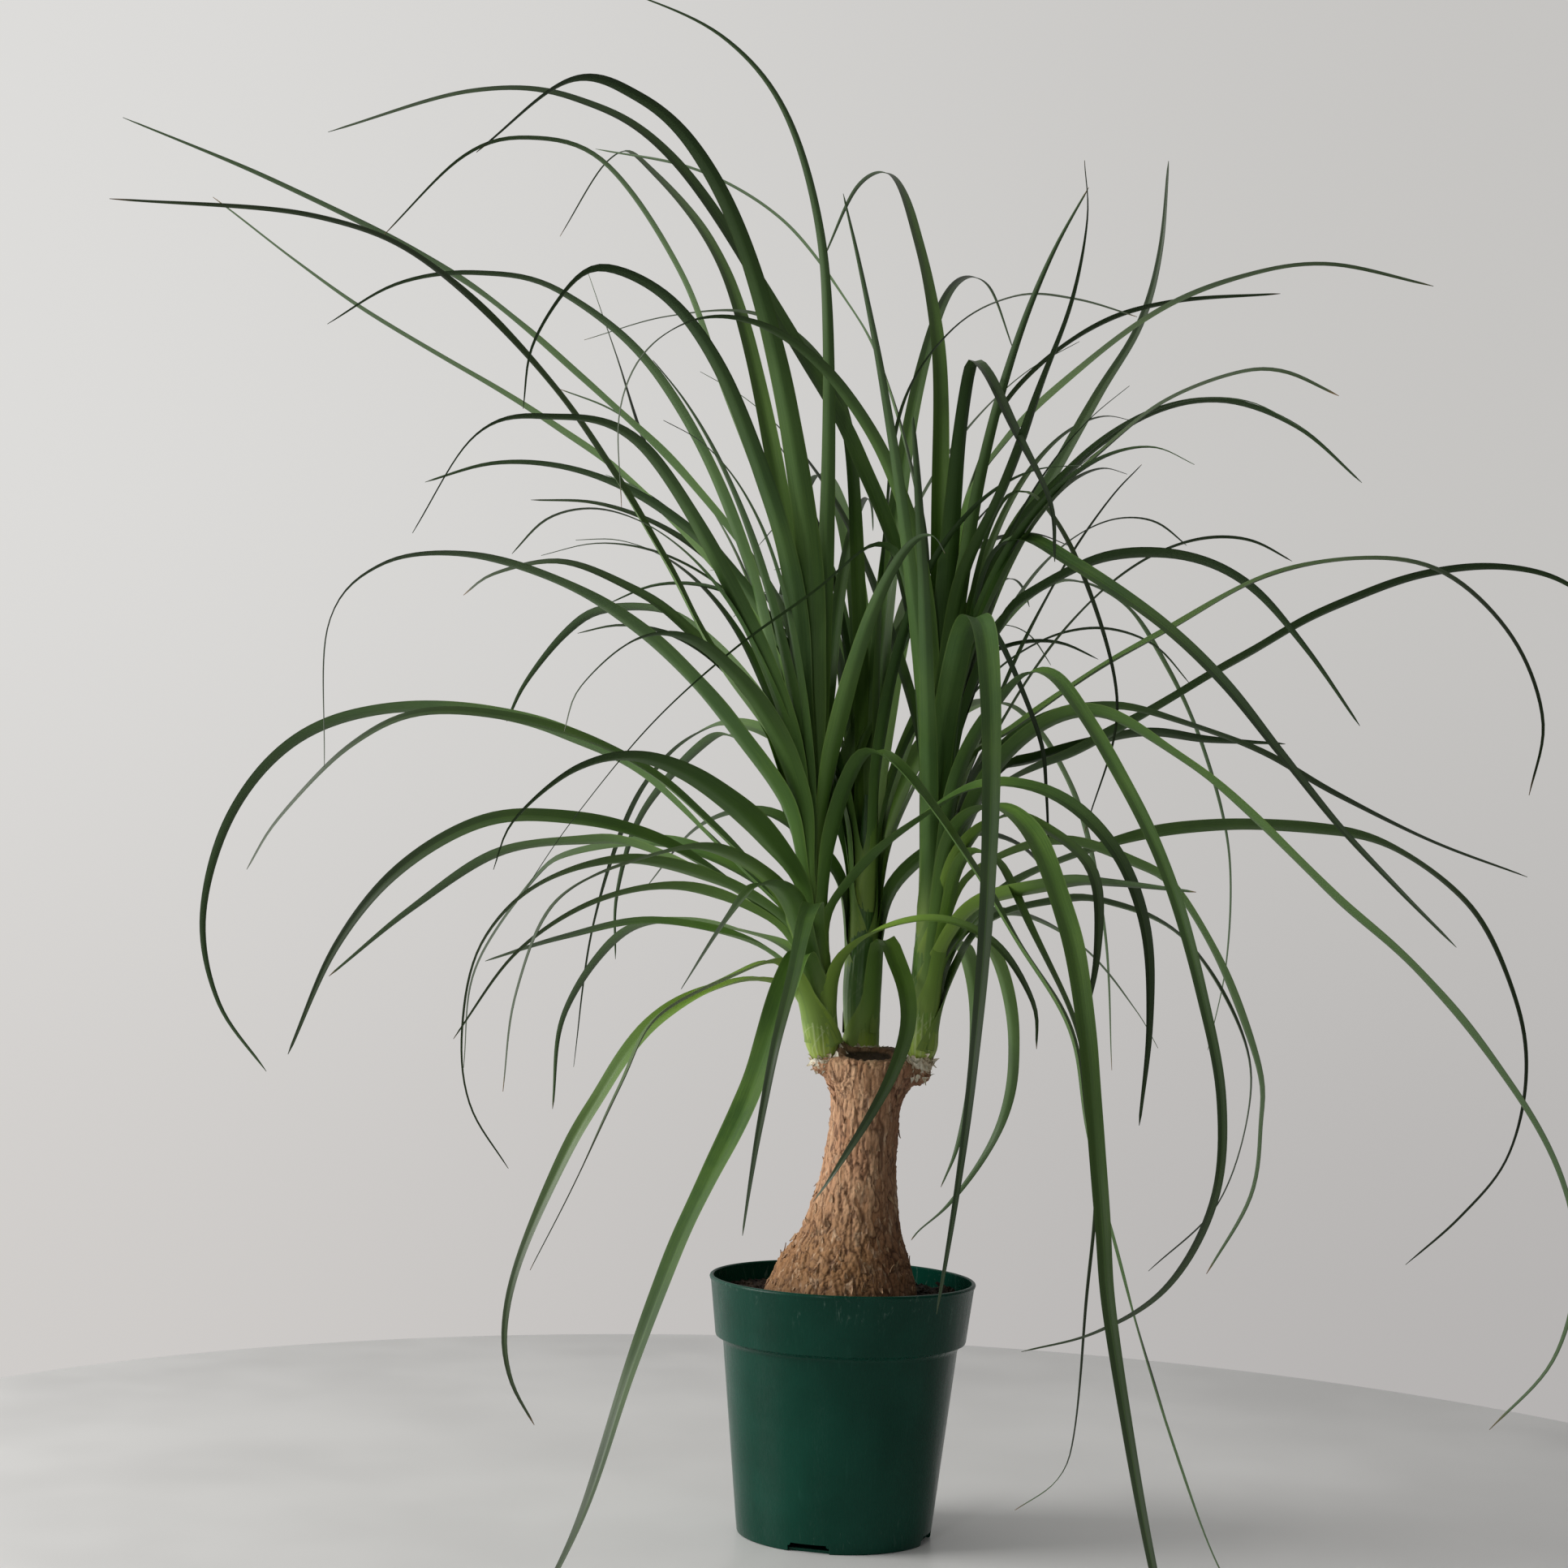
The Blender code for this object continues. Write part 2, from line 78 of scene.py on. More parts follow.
# Trunk, from under the soil up: height, centre x, half width, half depth
TRUNK_SECTIONS = (
    (122, -1, 43.5, 42),
    (136, -1, 44, 42.5),
    (146, 0, 41, 39.5),
    (158, 1, 36.5, 35),
    (167, 3, 31.5, 30.5),
    (176, 4, 28, 27.2),
    (194, 6, 23.7, 23.2),
    (212, 7.5, 21.2, 20.8),
    (236, 9.5, 19.9, 20),
    (246, 10, 20.4, 20.4),
    (253, 11, 22.2, 21.4),
    (259, 11.8, 26, 22.4),
    (264.5, 12.5, 30.4, 22.8),
    (269, 13, 33, 22),
    (272.5, 13, 30, 19.5),
)
# Collars that the shoots grow from: centre x, y, z, then half width, half depth, half height
KNOBS = (
    (-12.5, -3.5, 268.3, 10, 9.6, 6.4),
    (8, 13, 264.5, 11, 10, 8),
    (35.6, -5, 265.8, 11, 9.8, 8.2),
)
SCAR = (10, -7, 14.5, 11)
# Papery husks round the collars: centre x, y, foot, top, foot radius, top radius, how ragged the top is
HUSKS = (
    (-15.1, -4, 266.5, 273.4, 5.6, 7.1, 1.2),
    (-14.2, -4.2, 266, 271.6, 7.0, 8.6, 1.4),
    (7, 14, 272, 279, 9.4, 9.9, 1.3),
    (40.1, -5, 267, 275.0, 5.8, 7.2, 1.6),
    (38.9, -5.3, 266, 274.0, 7.0, 8.6, 2.6),
    (37.6, -5.6, 265, 271.8, 7.8, 9.8, 2.6),
)

# Shoots, from the collar up: height, centre x, centre y, radius
SHOOTS = {
    "left": ((268.4, -15, -4, 3.8), (270.8, -15.4, -4, 5.7), (274.2, -16, -4, 7.5), (279, -16.7, -4, 9),
             (286, -17.7, -4, 9.7), (297, -19.3, -4, 10), (309, -19.7, -4, 9.3), (335, -22.5, -4, 7.5),
             (361, -24.5, -4, 6), (400, -25, -4, 4.8), (432, -25, -4, 3)),
    "middle": ((268, 7.5, 14, 7.5), (277, 7, 14, 9.1), (290, 6.2, 14, 9.9), (315, 5, 14, 10),
               (350, 5, 14, 7.5), (390, 5, 14, 5.5), (425, 5, 14, 3)),
    "right": ((269.6, 39.8, -5, 3.9), (272, 40.1, -5, 5.7), (275.4, 40.5, -5, 7.2), (280, 40.9, -5, 8.3),
              (287, 41, -5, 8.6), (316, 41.5, -5, 8), (350, 42, -5, 6.8), (390, 42.5, -5, 5.6),
              (425, 43, -5, 4.8), (460, 43, -5, 3)),
}
LOWEST_LEAF_HEIGHT = 305
LEAF_ZONE = {"left": 112, "middle": 100, "right": 135}

# Leaves of each shoot, outermost first: compass direction in degrees (0 is +X, 90 is +Y), how far that
# direction turns by the tip, how far the blade twists by the tip, blade width, and the midrib's route as
# (reach from the shoot, height).
LEAVES = {
    "left": (
        (-130, 0, 30, 10, ((37, 326), (78, 318), (138, 296), (163, 262), (199, 207), (227, 168))),
        (-150, 0, -25, 10, ((51, 315), (106, 291), (141, 246), (161, 212), (183, 161), (190, 125),
                           (185, 97), (170, 72))),
        (-35, 0, 25, 9, ((15, 328), (39, 346), (81, 354), (118, 342), (143, 311), (146, 286))),
        (-108, -4, 30, 13, ((41, 328), (115, 255), (202, 193), (259, 135), (303, 72), (345, 35),
                            (390, 5), (430, 3))),
        (125, 0, 20, 10, ((50, 338), (134, 345), (214, 335), (282, 280), (292, 217))),
        (-158, 0, -35, 12, ((35, 356), (90, 388), (146, 402), (199, 400), (247, 372), (281, 329),
                            (305, 270))),
        (-135, 0, 30, 11, ((30, 352), (85, 372), (148, 380), (209, 366), (247, 334), (257, 290),
                           (250, 252), (223, 218))),
        (-92, -8, 15, 9, ((60, 360), (130, 352), (172, 322), (205, 288), (212, 250), (208, 225),
                          (195, 192))),
        (170, 0, 30, 11, ((36, 371), (105, 431), (156, 455), (207, 466), (268, 465), (320, 445),
                          (357, 400), (372, 340), (360, 288), (328, 248))),
        (-130, 0, 35, 14, ((17, 373), (74, 413), (142, 435), (199, 428), (245, 399), (259, 373))),
        (-30, 0, 30, 12, ((35, 385), (61, 406), (101, 429), (145, 427), (183, 400), (205, 357),
                          (210, 304), (206, 248))),
        (-45, 0, -30, 12, ((12, 395), (24, 430), (42, 448), (72, 431), (116, 388), (153, 345), (192, 299),
                           (207, 244), (237, 165), (269, 93), (301, 36), (333, 9), (375, 4), (425, 3))),
        (115, 0, 15, 9, ((20, 395), (60, 433), (126, 461), (179, 454), (269, 413), (307, 360), (305, 316))),
        (-148, 0, 10, 14, ((28, 425), (94, 489), (137, 517), (183, 534), (232, 541), (279, 531), (307, 498),
                           (306, 423))),
        (-160, 0, -30, 12, ((21, 440), (65, 497), (102, 557), (160, 636), (235, 702), (305, 725),
                            (415, 722))),
        (-140, 0, 25, 10, ((20, 450), (60, 523), (135, 608), (202, 616), (246, 600), (282, 545))),
        (134, 0, 22, 12, ((24, 446), (56, 532), (102, 578), (160, 635), (195, 700), (226, 757))),
        (160, 0, 20, 12, ((18, 453), (32, 510), (111, 594), (190, 649), (317, 721), (420, 792))),
        (180, 0, 15, 12, ((15, 468), (26, 530), (80, 600), (150, 663), (223, 718), (325, 767), (419, 803))),
        (-142, 0, 35, 11, ((14, 478), (25, 548), (49, 604), (80, 658), (116, 692), (155, 704), (180, 695),
                           (206, 656), (211, 620))),
        (-174, 0, 20, 8, ((7, 490), (24, 560), (66, 662), (93, 726), (138, 784), (181, 795), (218, 782),
                          (262, 733))),
        (-123, 0, 40, 12, ((9.5, 490), (18.5, 561), (55, 658), (98, 726), (148, 766), (200, 780), (258, 774),
                           (330, 720))),
        (-85, -60, 15, 8, ((4, 500), (9, 620), (18, 697), (31, 748), (61, 807), (99, 841), (148, 861))),
    ),
    "middle": (
        (-46, -69, 20, 10, ((13, 335), (18, 342), (28.4, 329), (43.4, 312), (55.7, 293), (60.6, 271),
                            (61, 245), (58, 224), (55, 209), (58, 193))),
        (60, 0, 25, 11, ((20, 400), (90, 470), (190, 490), (290, 440), (350, 350), (372, 250))),
        (122, 0, -30, 12, ((20, 400), (90, 455), (180, 470), (270, 430), (330, 340), (352, 240))),
        (80, 0, 30, 12, ((20, 420), (80, 500), (170, 560), (270, 560), (350, 500), (400, 410))),
        (100, 0, -25, 11, ((15, 445), (50, 540), (120, 610), (210, 640), (300, 600), (360, 520))),
        (140, 0, -20, 9, ((9, 480), (15, 560), (26, 642), (50, 686), (100, 718), (173, 724), (246, 716))),
        (-30, -15, 20, 9, ((5, 480), (5, 560), (14, 650), (47, 694), (91, 709), (137, 702), (187, 685))),
        (70, 0, 15, 10, ((10, 480), (30, 580), (70, 680), (130, 750), (210, 770), (280, 740))),
    ),
    "right": (
        (20, 0, 25, 9, ((35, 350), (80, 366), (112, 367), (165, 348), (206, 294), (214, 249), (195, 190),
                        (150, 150))),
        (55, 0, 30, 12, ((35, 345), (96, 358), (185, 338), (258, 298), (292, 272))),
        (-50, 0, -20, 8, ((25, 385), (53, 389), (82, 352), (120, 300), (136, 247), (139, 205), (135, 156),
                          (130, 84), (119, 55), (87, 32))),
        (-65, -4, 20, 11, ((25, 398), (70, 418), (116, 403), (153, 363), (178, 315), (207, 212), (220, 163),
                          (251, 97), (283, 42), (310, 11), (350, 4), (395, 3))),
        (12, 0, 30, 11, ((50, 375), (117, 403), (174, 414), (235, 415), (285, 406), (338, 371), (368, 316),
                         (376, 270), (365, 222), (336, 187), (302, 158))),
        (-32, 0, -35, 11, ((25, 415), (58, 458), (102, 473), (156, 447), (200, 415), (246, 375), (294, 337),
                           (335, 293), (368, 244), (380, 196), (370, 146), (338, 106))),
        (-2, 0, 25, 10, ((20, 425), (55, 467), (99, 480), (143, 472), (188, 457), (232, 434), (288, 409),
                        (342, 391))),
        (26, 0, -35, 12, ((28, 420), (100, 457), (160, 489), (217, 522), (281, 556), (350, 582), (415, 592),
                          (470, 584), (512, 552))),
        (-62, 0, 30, 8, ((26, 435), (79, 484), (118, 490), (158, 461), (204, 417), (238, 374), (264, 325),
                          (283, 274), (280, 225), (244, 178), (184, 146), (113, 124))),
        (-19, 0, 18, 12, ((18.5, 440), (48, 465), (92, 497), (135, 522), (186, 551), (238, 562), (284, 555),
                          (322, 520), (340, 475), (334, 434))),
        (11, 0, -30, 11, ((16, 465), (38, 527), (58, 547), (99, 569), (147, 573), (188, 558), (225, 522),
                          (260, 478))),
        (50, 0, 15, 7, ((16, 460), (55, 525), (120, 562), (190, 556), (242, 522), (292, 470), (328, 404),
                        (330, 332), (310, 272))),
        (-80, -10, 15, 12, ((15, 450), (45, 495), (80, 520), (120, 510), (150, 465), (175, 405), (195, 338),
                            (210, 266), (212, 207), (205, 158))),
        (-39.5, 0, 30, 11, ((15, 465), (30, 550), (52, 572), (90, 556), (148, 522), (190, 488), (226, 450),
                          (262, 412), (296, 381), (330, 352))),
        (-156, 0, 12, 7, ((12.5, 480), (24.5, 552), (44, 567), (81, 537), (130, 500), (177, 456), (221, 401),
                          (248, 360))),
        (-62, 0, 25, 12, ((11, 480), (23, 545), (64, 596), (97, 647), (127, 692), (139, 735), (134, 768))),
        (-128, 0, 16, 9, ((8, 490), (26, 562), (60, 612), (112, 650), (168, 667), (223, 663), (266, 640),
                          (286, 605), (282, 557))),
        (32, 0, 18, 12, ((16, 488), (44, 568), (79, 621), (110, 672), (140, 718), (154, 766), (158, 822))),
        (6, 0, -25, 10, ((11, 490), (32, 565), (70, 615), (116, 652), (162, 664), (208, 651), (248, 620))),
        (170, 0, -35, 11, ((11, 480), (24, 550), (47, 610), (78, 666), (164, 792), (229, 834), (295, 840),
                           (384, 816))),
        (137, 0, 30, 8, ((9, 500), (19, 589), (53, 679), (88, 728), (143, 782), (217, 822), (310, 849))),
        (103, 0, 10, 9, ((6, 500), (12, 600), (27, 689), (81, 766), (147, 821), (238, 835), (327, 806))),
        (-18, 0, 30, 11, ((6, 500), (13, 590), (36, 631), (76, 670), (124, 705), (168, 722), (216, 728),
                          (274, 714))),
    ),
}

# Further leaves with no CAD node of their own: the same columns after the height that they leave the shoot at
SPARE_LEAVES = {
    "left": (
        (318, 178, 0, -20, 11, ((41, 337), (97, 346), (149, 335), (193, 320))),
        (322, -110, 0, 30, 12.5, ((50, 362), (100, 370), (144, 353), (209, 316))),
        (326, -120, 0, 25, 11, ((50, 368), (120, 388), (197, 380), (267, 358), (298, 313), (306, 266))),
        (330, -160, 0, 20, 11, ((30, 350), (80, 366), (130, 358), (177, 328), (212, 279))),
        (336, 160, 0, 25, 11, ((50, 365), (112, 389), (148, 392), (207, 382), (262, 347), (316, 304))),
        (342, 150, 0, -30, 11, ((40, 370), (100, 392), (169, 385), (199, 367), (240, 311), (246, 250))),
        (346, -172, 0, -25, 11, ((36, 378), (100, 432), (160, 456), (226, 461), (269, 440), (307, 398),
                                (324, 368))),
        (368, 150, 0, 25, 12.5, ((15, 440), (50, 490), (100, 528), (152, 533), (180, 520), (209, 489),
                               (222, 465))),
        (372, -125, 0, 20, 11, ((20, 425), (60, 470), (120, 500), (173, 498), (220, 469), (232, 445))),
        (378, 170, 0, -30, 11, ((35, 470), (85, 521), (118, 542), (159, 556), (199, 548), (217, 535))),
        (398, -165, 0, 20, 10, ((45, 550), (100, 654), (161, 701), (210, 708), (254, 698), (292, 672))),
        (404, 120, 0, -20, 10, ((40, 560), (128, 741), (249, 840), (306, 856), (380, 817))),
    ),
    "middle": (
        (330, 20, 0, 20, 12.5, ((20, 372), (58, 402), (100, 398), (130, 362), (146, 318))),
        (338, 160, 0, -20, 12.5, ((20, 380), (60, 412), (104, 404), (138, 366))),
    ),
    "right": (
        (322, -45, 0, 10, 7, ((10, 460), (25, 510), (42, 519), (77, 462), (85, 428), (90, 371))),
        (326, 50, 40, 20, 10, ((20, 350), (70, 333), (117, 275), (143, 225), (115, 180), (60, 162))),
        (330, 70, 0, 15, 10, ((30, 340), (75, 335), (104, 303), (100, 255), (76, 218), (45, 196))),
        (334, -50, 0, -30, 12.5, ((40, 362), (106, 377), (142, 378), (204, 375))),
        (340, -15, 0, -25, 11, ((25, 380), (73, 400), (120, 389), (142, 375), (169, 333), (191, 278),
                               (193, 247), (189, 207), (166, 162))),
        (350, -55, 0, 20, 11, ((28, 392), (63, 413), (99, 407), (141, 384), (147, 340), (136, 296))),
        (372, 30, 0, -30, 12.5, ((43, 437), (71, 450), (146, 470), (200, 469), (260, 470))),
        (410, -40, 0, 30, 11, ((15, 490), (50, 560), (82, 598), (103, 614), (145, 641), (190, 654),
                              (221, 653), (255, 637))),
        (414, 30, 0, -25, 11, ((10, 560), (25, 625), (48, 667), (100, 710), (159, 734), (244, 751))),
        (420, -65, 0, 10, 12.5, ((8, 550), (23, 662), (40, 668), (81, 626), (121, 583), (128, 550))),
        (424, -30, 0, 10, 7, ((14, 500), (30, 580), (52, 600), (84, 560), (112, 479), (95, 406))),
    ),
}

# Slim inner leaves that fill each crown: how many, and the middle and spread of their compass directions
CROWN_GROUPS = {
    "left": ((5, 90, 80), (4, 180, 50), (4, -90, 60)),
    "middle": ((6, 90, 80), (3, 0, 60), (4, 180, 60)),
    "right": ((5, 90, 80), (5, 0, 50), (4, -90, 60)),
}
CROWN_SEED = 23

LEAF_THICKNESS = 0.55 * MM
LEAF_EDGE_THICKNESS = 0.16 * MM
LEAF_TAPER_START = 0.25
LEAF_TAPER_CURVE = 0.95
LEAF_BREADTH = 1.25
LEAF_TIP_SHARE = 0.09
CHANNEL_SHARE = 0.2
LEAN_START = 0.03
LEAN_END = 0.33
LEAN_STRENGTH = 1.1
SHEATH_LENGTH = 34
SHEATH_LIFT = 1.5
STATION_STEP = 5.5 * MM
SECTION_POINTS = 9


# ---------------------------------------------------------------- nodes

def new_material(name):
    made = bpy.data.materials.new(name)
    made.use_nodes = True
    return made, made.node_tree, made.node_tree.nodes["Principled BSDF"]


def node(tree, kind, values=None, **settings):
    made = tree.nodes.new(kind)
    for key, value in settings.items():
        setattr(made, key, value)
    for key, value in (values or {}).items():
        if isinstance(value, bpy.types.NodeSocket):
            tree.links.new(value, made.inputs[key])
        else:
            made.inputs[key].default_value = value
    return made


def sum_of(tree, operation, *values, clamp=False):
    return node(tree, "ShaderNodeMath", dict(enumerate(values)), operation=operation,
                use_clamp=clamp).outputs[0]


def spread(tree, value, low, high, new_low=0.0, new_high=1.0):
    """The value smoothly remapped from one range to another, clamped."""
    made = node(tree, "ShaderNodeMapRange", {"Value": value, "From Min": low, "From Max": high,
                                             "To Min": new_low, "To Max": new_high},
                interpolation_type="SMOOTHSTEP")
    return made.outputs["Result"]


def blend(tree, share, below, above, kind="MIX"):
    made = node(tree, "ShaderNodeMix", {0: share, 6: below, 7: above}, data_type="RGBA", blend_type=kind,
                clamp_factor=True)
    return made.outputs[2]


def attribute(tree, name):
    return node(tree, "ShaderNodeAttribute", attribute_name=name).outputs["Fac"]


def cloud(tree, vector, scale, detail=3.0, roughness=0.55, distortion=0.0):
    made = node(tree, "ShaderNodeTexNoise", {"Vector": vector, "Scale": scale, "Detail": detail,
                                             "Roughness": roughness, "Distortion": distortion})
    return made.outputs["Fac"]


def stretched(tree, vector, scale):
    return node(tree, "ShaderNodeMapping", {"Vector": vector, "Scale": scale}).outputs["Vector"]


def bump(tree, height, strength, distance, normal=None):
    values = {"Height": height, "Strength": strength, "Distance": distance}
    if normal is not None:
        values["Normal"] = normal
    return node(tree, "ShaderNodeBump", values).outputs["Normal"]


def colour(red, green, blue):
    return (red, green, blue, 1.0)


def leaf_material():
    made, tree, shader = new_material("palm_leaf")
    along = attribute(tree, "along")
    across = attribute(tree, "across")
    tone = attribute(tree, "tone")
    foot = attribute(tree, "foot")
    under = attribute(tree, "under")
    place = node(tree, "ShaderNodeTexCoord").outputs["Object"]
    strip = node(tree, "ShaderNodeCombineXYZ", {0: sum_of(tree, "MULTIPLY", across, 9.0),
                                                1: sum_of(tree, "MULTIPLY", foot, 1.6),
                                                2: sum_of(tree, "MULTIPLY", tone, 40.0)}).outputs[0]
    veins = cloud(tree, strip, 1.6, 4.0, 0.7)
    fine_strip = stretched(tree, strip, (2.1, 1.0, 1.0))
    fine_veins = cloud(tree, fine_strip, 1.5, 2.0, 0.6)
    patches = cloud(tree, stretched(tree, place, (1.0, 1.0, 0.6)), 34.0, 3.0)
    green = blend(tree, tone, colour(0.034, 0.094, 0.018), colour(0.125, 0.232, 0.038))
    green = blend(tree, spread(tree, patches, 0.35, 0.75, 0.0, 0.45), green, colour(0.125, 0.225, 0.032))
    streak = spread(tree, veins, 0.52, 0.74, 0.0, 0.55)
    green = blend(tree, streak, green, colour(0.140, 0.265, 0.046))
    dark_line = spread(tree, fine_veins, 0.55, 0.32, 0.0, 0.34)
    green = blend(tree, dark_line, green, colour(0.011, 0.036, 0.009))
    base = spread(tree, foot, 1.3, -0.1)
    green = blend(tree, sum_of(tree, "MULTIPLY", base, 0.34), green, colour(0.150, 0.300, 0.030))
    # Young leaf bases are yellow-green, partly their own colour and partly painted light against the shade
    # inside the crown
    glow = sum_of(tree, "MULTIPLY", base, spread(tree, tone, 0.5, 0.78, 0.0, 0.62))
    green = blend(tree, glow, green, colour(0.330, 0.520, 0.035))
    green = blend(tree, spread(tree, foot, 0.12, -0.3), green, colour(0.26, 0.37, 0.070))
    # Each leaf darkens to grey-green towards its tip: partly the leaf's own darker tip, partly painted shade on
    # the drooping far part
    darker_tip_and_painted_shade = sum_of(tree, "MULTIPLY", spread(tree, along, 0.22, 0.8), 0.86)
    green = blend(tree, darker_tip_and_painted_shade, green, colour(0.022, 0.031, 0.019))
    side = sum_of(tree, "ABSOLUTE", across)
    margin = sum_of(tree, "MULTIPLY", spread(tree, side, 0.86, 1.0, 0.0, 0.45), spread(tree, along, 0.6, 0.2))
    green = blend(tree, margin, green, colour(0.20, 0.30, 0.09))
    green = blend(tree, spread(tree, side, 0.1, 0.0, 0.0, 0.3), green, colour(0.10, 0.20, 0.04))
    green = blend(tree, sum_of(tree, "MULTIPLY", under, 0.28), green, colour(0.10, 0.19, 0.07))
    dry = sum_of(tree, "MULTIPLY", spread(tree, along, 0.975, 1.0), spread(tree, tone, 0.45, 0.7))
    green = blend(tree, dry, green, colour(0.16, 0.09, 0.035))
    tree.links.new(green, shader.inputs["Base Color"])
    rough = sum_of(tree, "ADD", spread(tree, veins, 0.3, 0.7, 0.36, 0.5),
                   sum_of(tree, "MULTIPLY", under, 0.08))
    tree.links.new(rough, shader.inputs["Roughness"])
    ridges = sum_of(tree, "ADD", fine_veins, sum_of(tree, "MULTIPLY", veins, 0.6))
    tree.links.new(bump(tree, ridges, spread(tree, along, 0.15, 0.6, 0.35, 0.04), 0.25 * MM),
                   shader.inputs["Normal"])
    shader.inputs["Specular IOR Level"].default_value = 0.34
    return made


def shoot_material():
    made, tree, shader = new_material("shoot_sheath")
    place = node(tree, "ShaderNodeTexCoord").outputs["Object"]
    height = node(tree, "ShaderNodeSeparateXYZ", {0: place}).outputs["Z"]
    edge = attribute(tree, "edge")
    fibres = cloud(tree, stretched(tree, place, (1.0, 1.0, 0.05)), 900.0, 3.0, 0.6)
    broad = cloud(tree, stretched(tree, place, (1.0, 1.0, 0.2)), 160.0, 2.0)
    green = blend(tree, spread(tree, height, 0.270, 0.310), colour(0.38, 0.50, 0.07),
                  colour(0.130, 0.28, 0.04))
    green = blend(tree, spread(tree, height, 0.31, 0.38), green, colour(0.045, 0.135, 0.022))
    green = blend(tree, spread(tree, broad, 0.4, 0.7, 0.0, 0.5), green, colour(0.20, 0.33, 0.05))
    green = blend(tree, spread(tree, fibres, 0.5, 0.72, 0.0, 0.25), green, colour(0.36, 0.46, 0.17))
    green = blend(tree, spread(tree, fibres, 0.45, 0.25, 0.0, 0.35), green, colour(0.06, 0.13, 0.02))
    # Painted shade: each shoot's upper part darkens by its shade value, and its pale seams are muted where that
    # value is high
    painted_shade_share = sum_of(tree, "MULTIPLY", attribute(tree, "shade"), spread(tree, height, 0.276, 0.300))
    green = blend(tree, painted_shade_share, green, colour(0.035, 0.095, 0.020))
    seam = sum_of(tree, "MULTIPLY", edge, spread(tree, attribute(tree, "shade"), 0.15, 0.7, 0.7, 0.12))
    green = blend(tree, seam, green, colour(0.50, 0.58, 0.28))
    tree.links.new(green, shader.inputs["Base Color"])
    tree.links.new(spread(tree, broad, 0.3, 0.7, 0.34, 0.5), shader.inputs["Roughness"])
    tree.links.new(bump(tree, fibres, 0.3, 0.3 * MM), shader.inputs["Normal"])
    shader.inputs["Subsurface Weight"].default_value = 0.1
    shader.inputs["Subsurface Radius"].default_value = (0.003, 0.004, 0.001)
    return made


def bark_material():
    made, tree, shader = new_material("palm_bark")
    place = node(tree, "ShaderNodeTexCoord").outputs["Object"]
    parts = node(tree, "ShaderNodeSeparateXYZ", {0: place}).outputs
    groove = attribute(tree, "groove")
    plate = attribute(tree, "plate")
    scar = attribute(tree, "scar")
    grain = cloud(tree, stretched(tree, place, (1.0, 1.0, 0.22)), 620.0, 5.0, 0.65, 0.4)
    paper = cloud(tree, stretched(tree, place, (1.0, 1.0, 0.35)), 210.0, 4.0, 0.6, 0.8)
    tint = cloud(tree, stretched(tree, place, (1.0, 1.0, 0.5)), 46.0, 3.0)
    brown = blend(tree, plate, colour(0.47, 0.250, 0.130), colour(0.79, 0.50, 0.300))
    brown = blend(tree, spread(tree, tint, 0.4, 0.68, 0.0, 0.5), brown, colour(0.54, 0.265, 0.150))
    golden = sum_of(tree, "MULTIPLY", spread(tree, parts["Z"], 0.215, 0.150), 0.85)
    brown = blend(tree, golden, brown, colour(0.300, 0.150, 0.056))
    # The right side of the trunk is darker and redder: partly the bark's own reddish colour, partly painted
    # shade away from the key light
    redder_shaded_right_side = sum_of(tree, "MULTIPLY", spread(tree, parts["X"], 0.010, 0.026), 0.55)
    brown = blend(tree, redder_shaded_right_side, brown, colour(0.22, 0.095, 0.055))
    brown = blend(tree, spread(tree, paper, 0.56, 0.72, 0.0, 0.6), brown, colour(0.80, 0.60, 0.42))
    brown = blend(tree, spread(tree, grain, 0.48, 0.26, 0.0, 0.6), brown, colour(0.17, 0.080, 0.042))
    # Cracks darken with their depth: partly the bark's own darker cracks, partly painted shade in them
    brown = blend(tree, sum_of(tree, "MULTIPLY", groove, 0.85), brown, colour(0.070, 0.030, 0.016))
    foot = sum_of(tree, "MULTIPLY", spread(tree, parts["Z"], 0.150, 0.136), 0.55)
    brown = blend(tree, foot, brown, colour(0.060, 0.032, 0.016))
    brown = blend(tree, sum_of(tree, "MULTIPLY", scar, 0.94), brown, colour(0.022, 0.013, 0.010))
    tree.links.new(brown, shader.inputs["Base Color"])
    tree.links.new(spread(tree, grain, 0.3, 0.7, 0.62, 0.88), shader.inputs["Roughness"])
    rise = sum_of(tree, "ADD", grain, sum_of(tree, "MULTIPLY", paper, 0.8))
    tree.links.new(bump(tree, rise, 0.75, 0.7 * MM), shader.inputs["Normal"])
    shader.inputs["Specular IOR Level"].default_value = 0.3
    return made


def flake_material(name, light, dark):
    made, tree, shader = new_material(name)
    place = node(tree, "ShaderNodeTexCoord").outputs["Object"]
    fibres = cloud(tree, stretched(tree, place, (1.0, 1.0, 0.3)), 700.0, 4.0, 0.6)
    patch = cloud(tree, place, 150.0, 2.0)
    shade = blend(tree, spread(tree, patch, 0.35, 0.65), colour(*light), colour(*dark))
    shade = blend(tree, spread(tree, fibres, 0.48, 0.3, 0.0, 0.5), shade,
                  colour(*[0.35 * value for value in dark]))
    tree.links.new(shade, shader.inputs["Base Color"])
    tree.links.new(spread(tree, fibres, 0.3, 0.7, 0.6, 0.85), shader.inputs["Roughness"])
    tree.links.new(bump(tree, fibres, 0.5, 0.3 * MM), shader.inputs["Normal"])
    return made


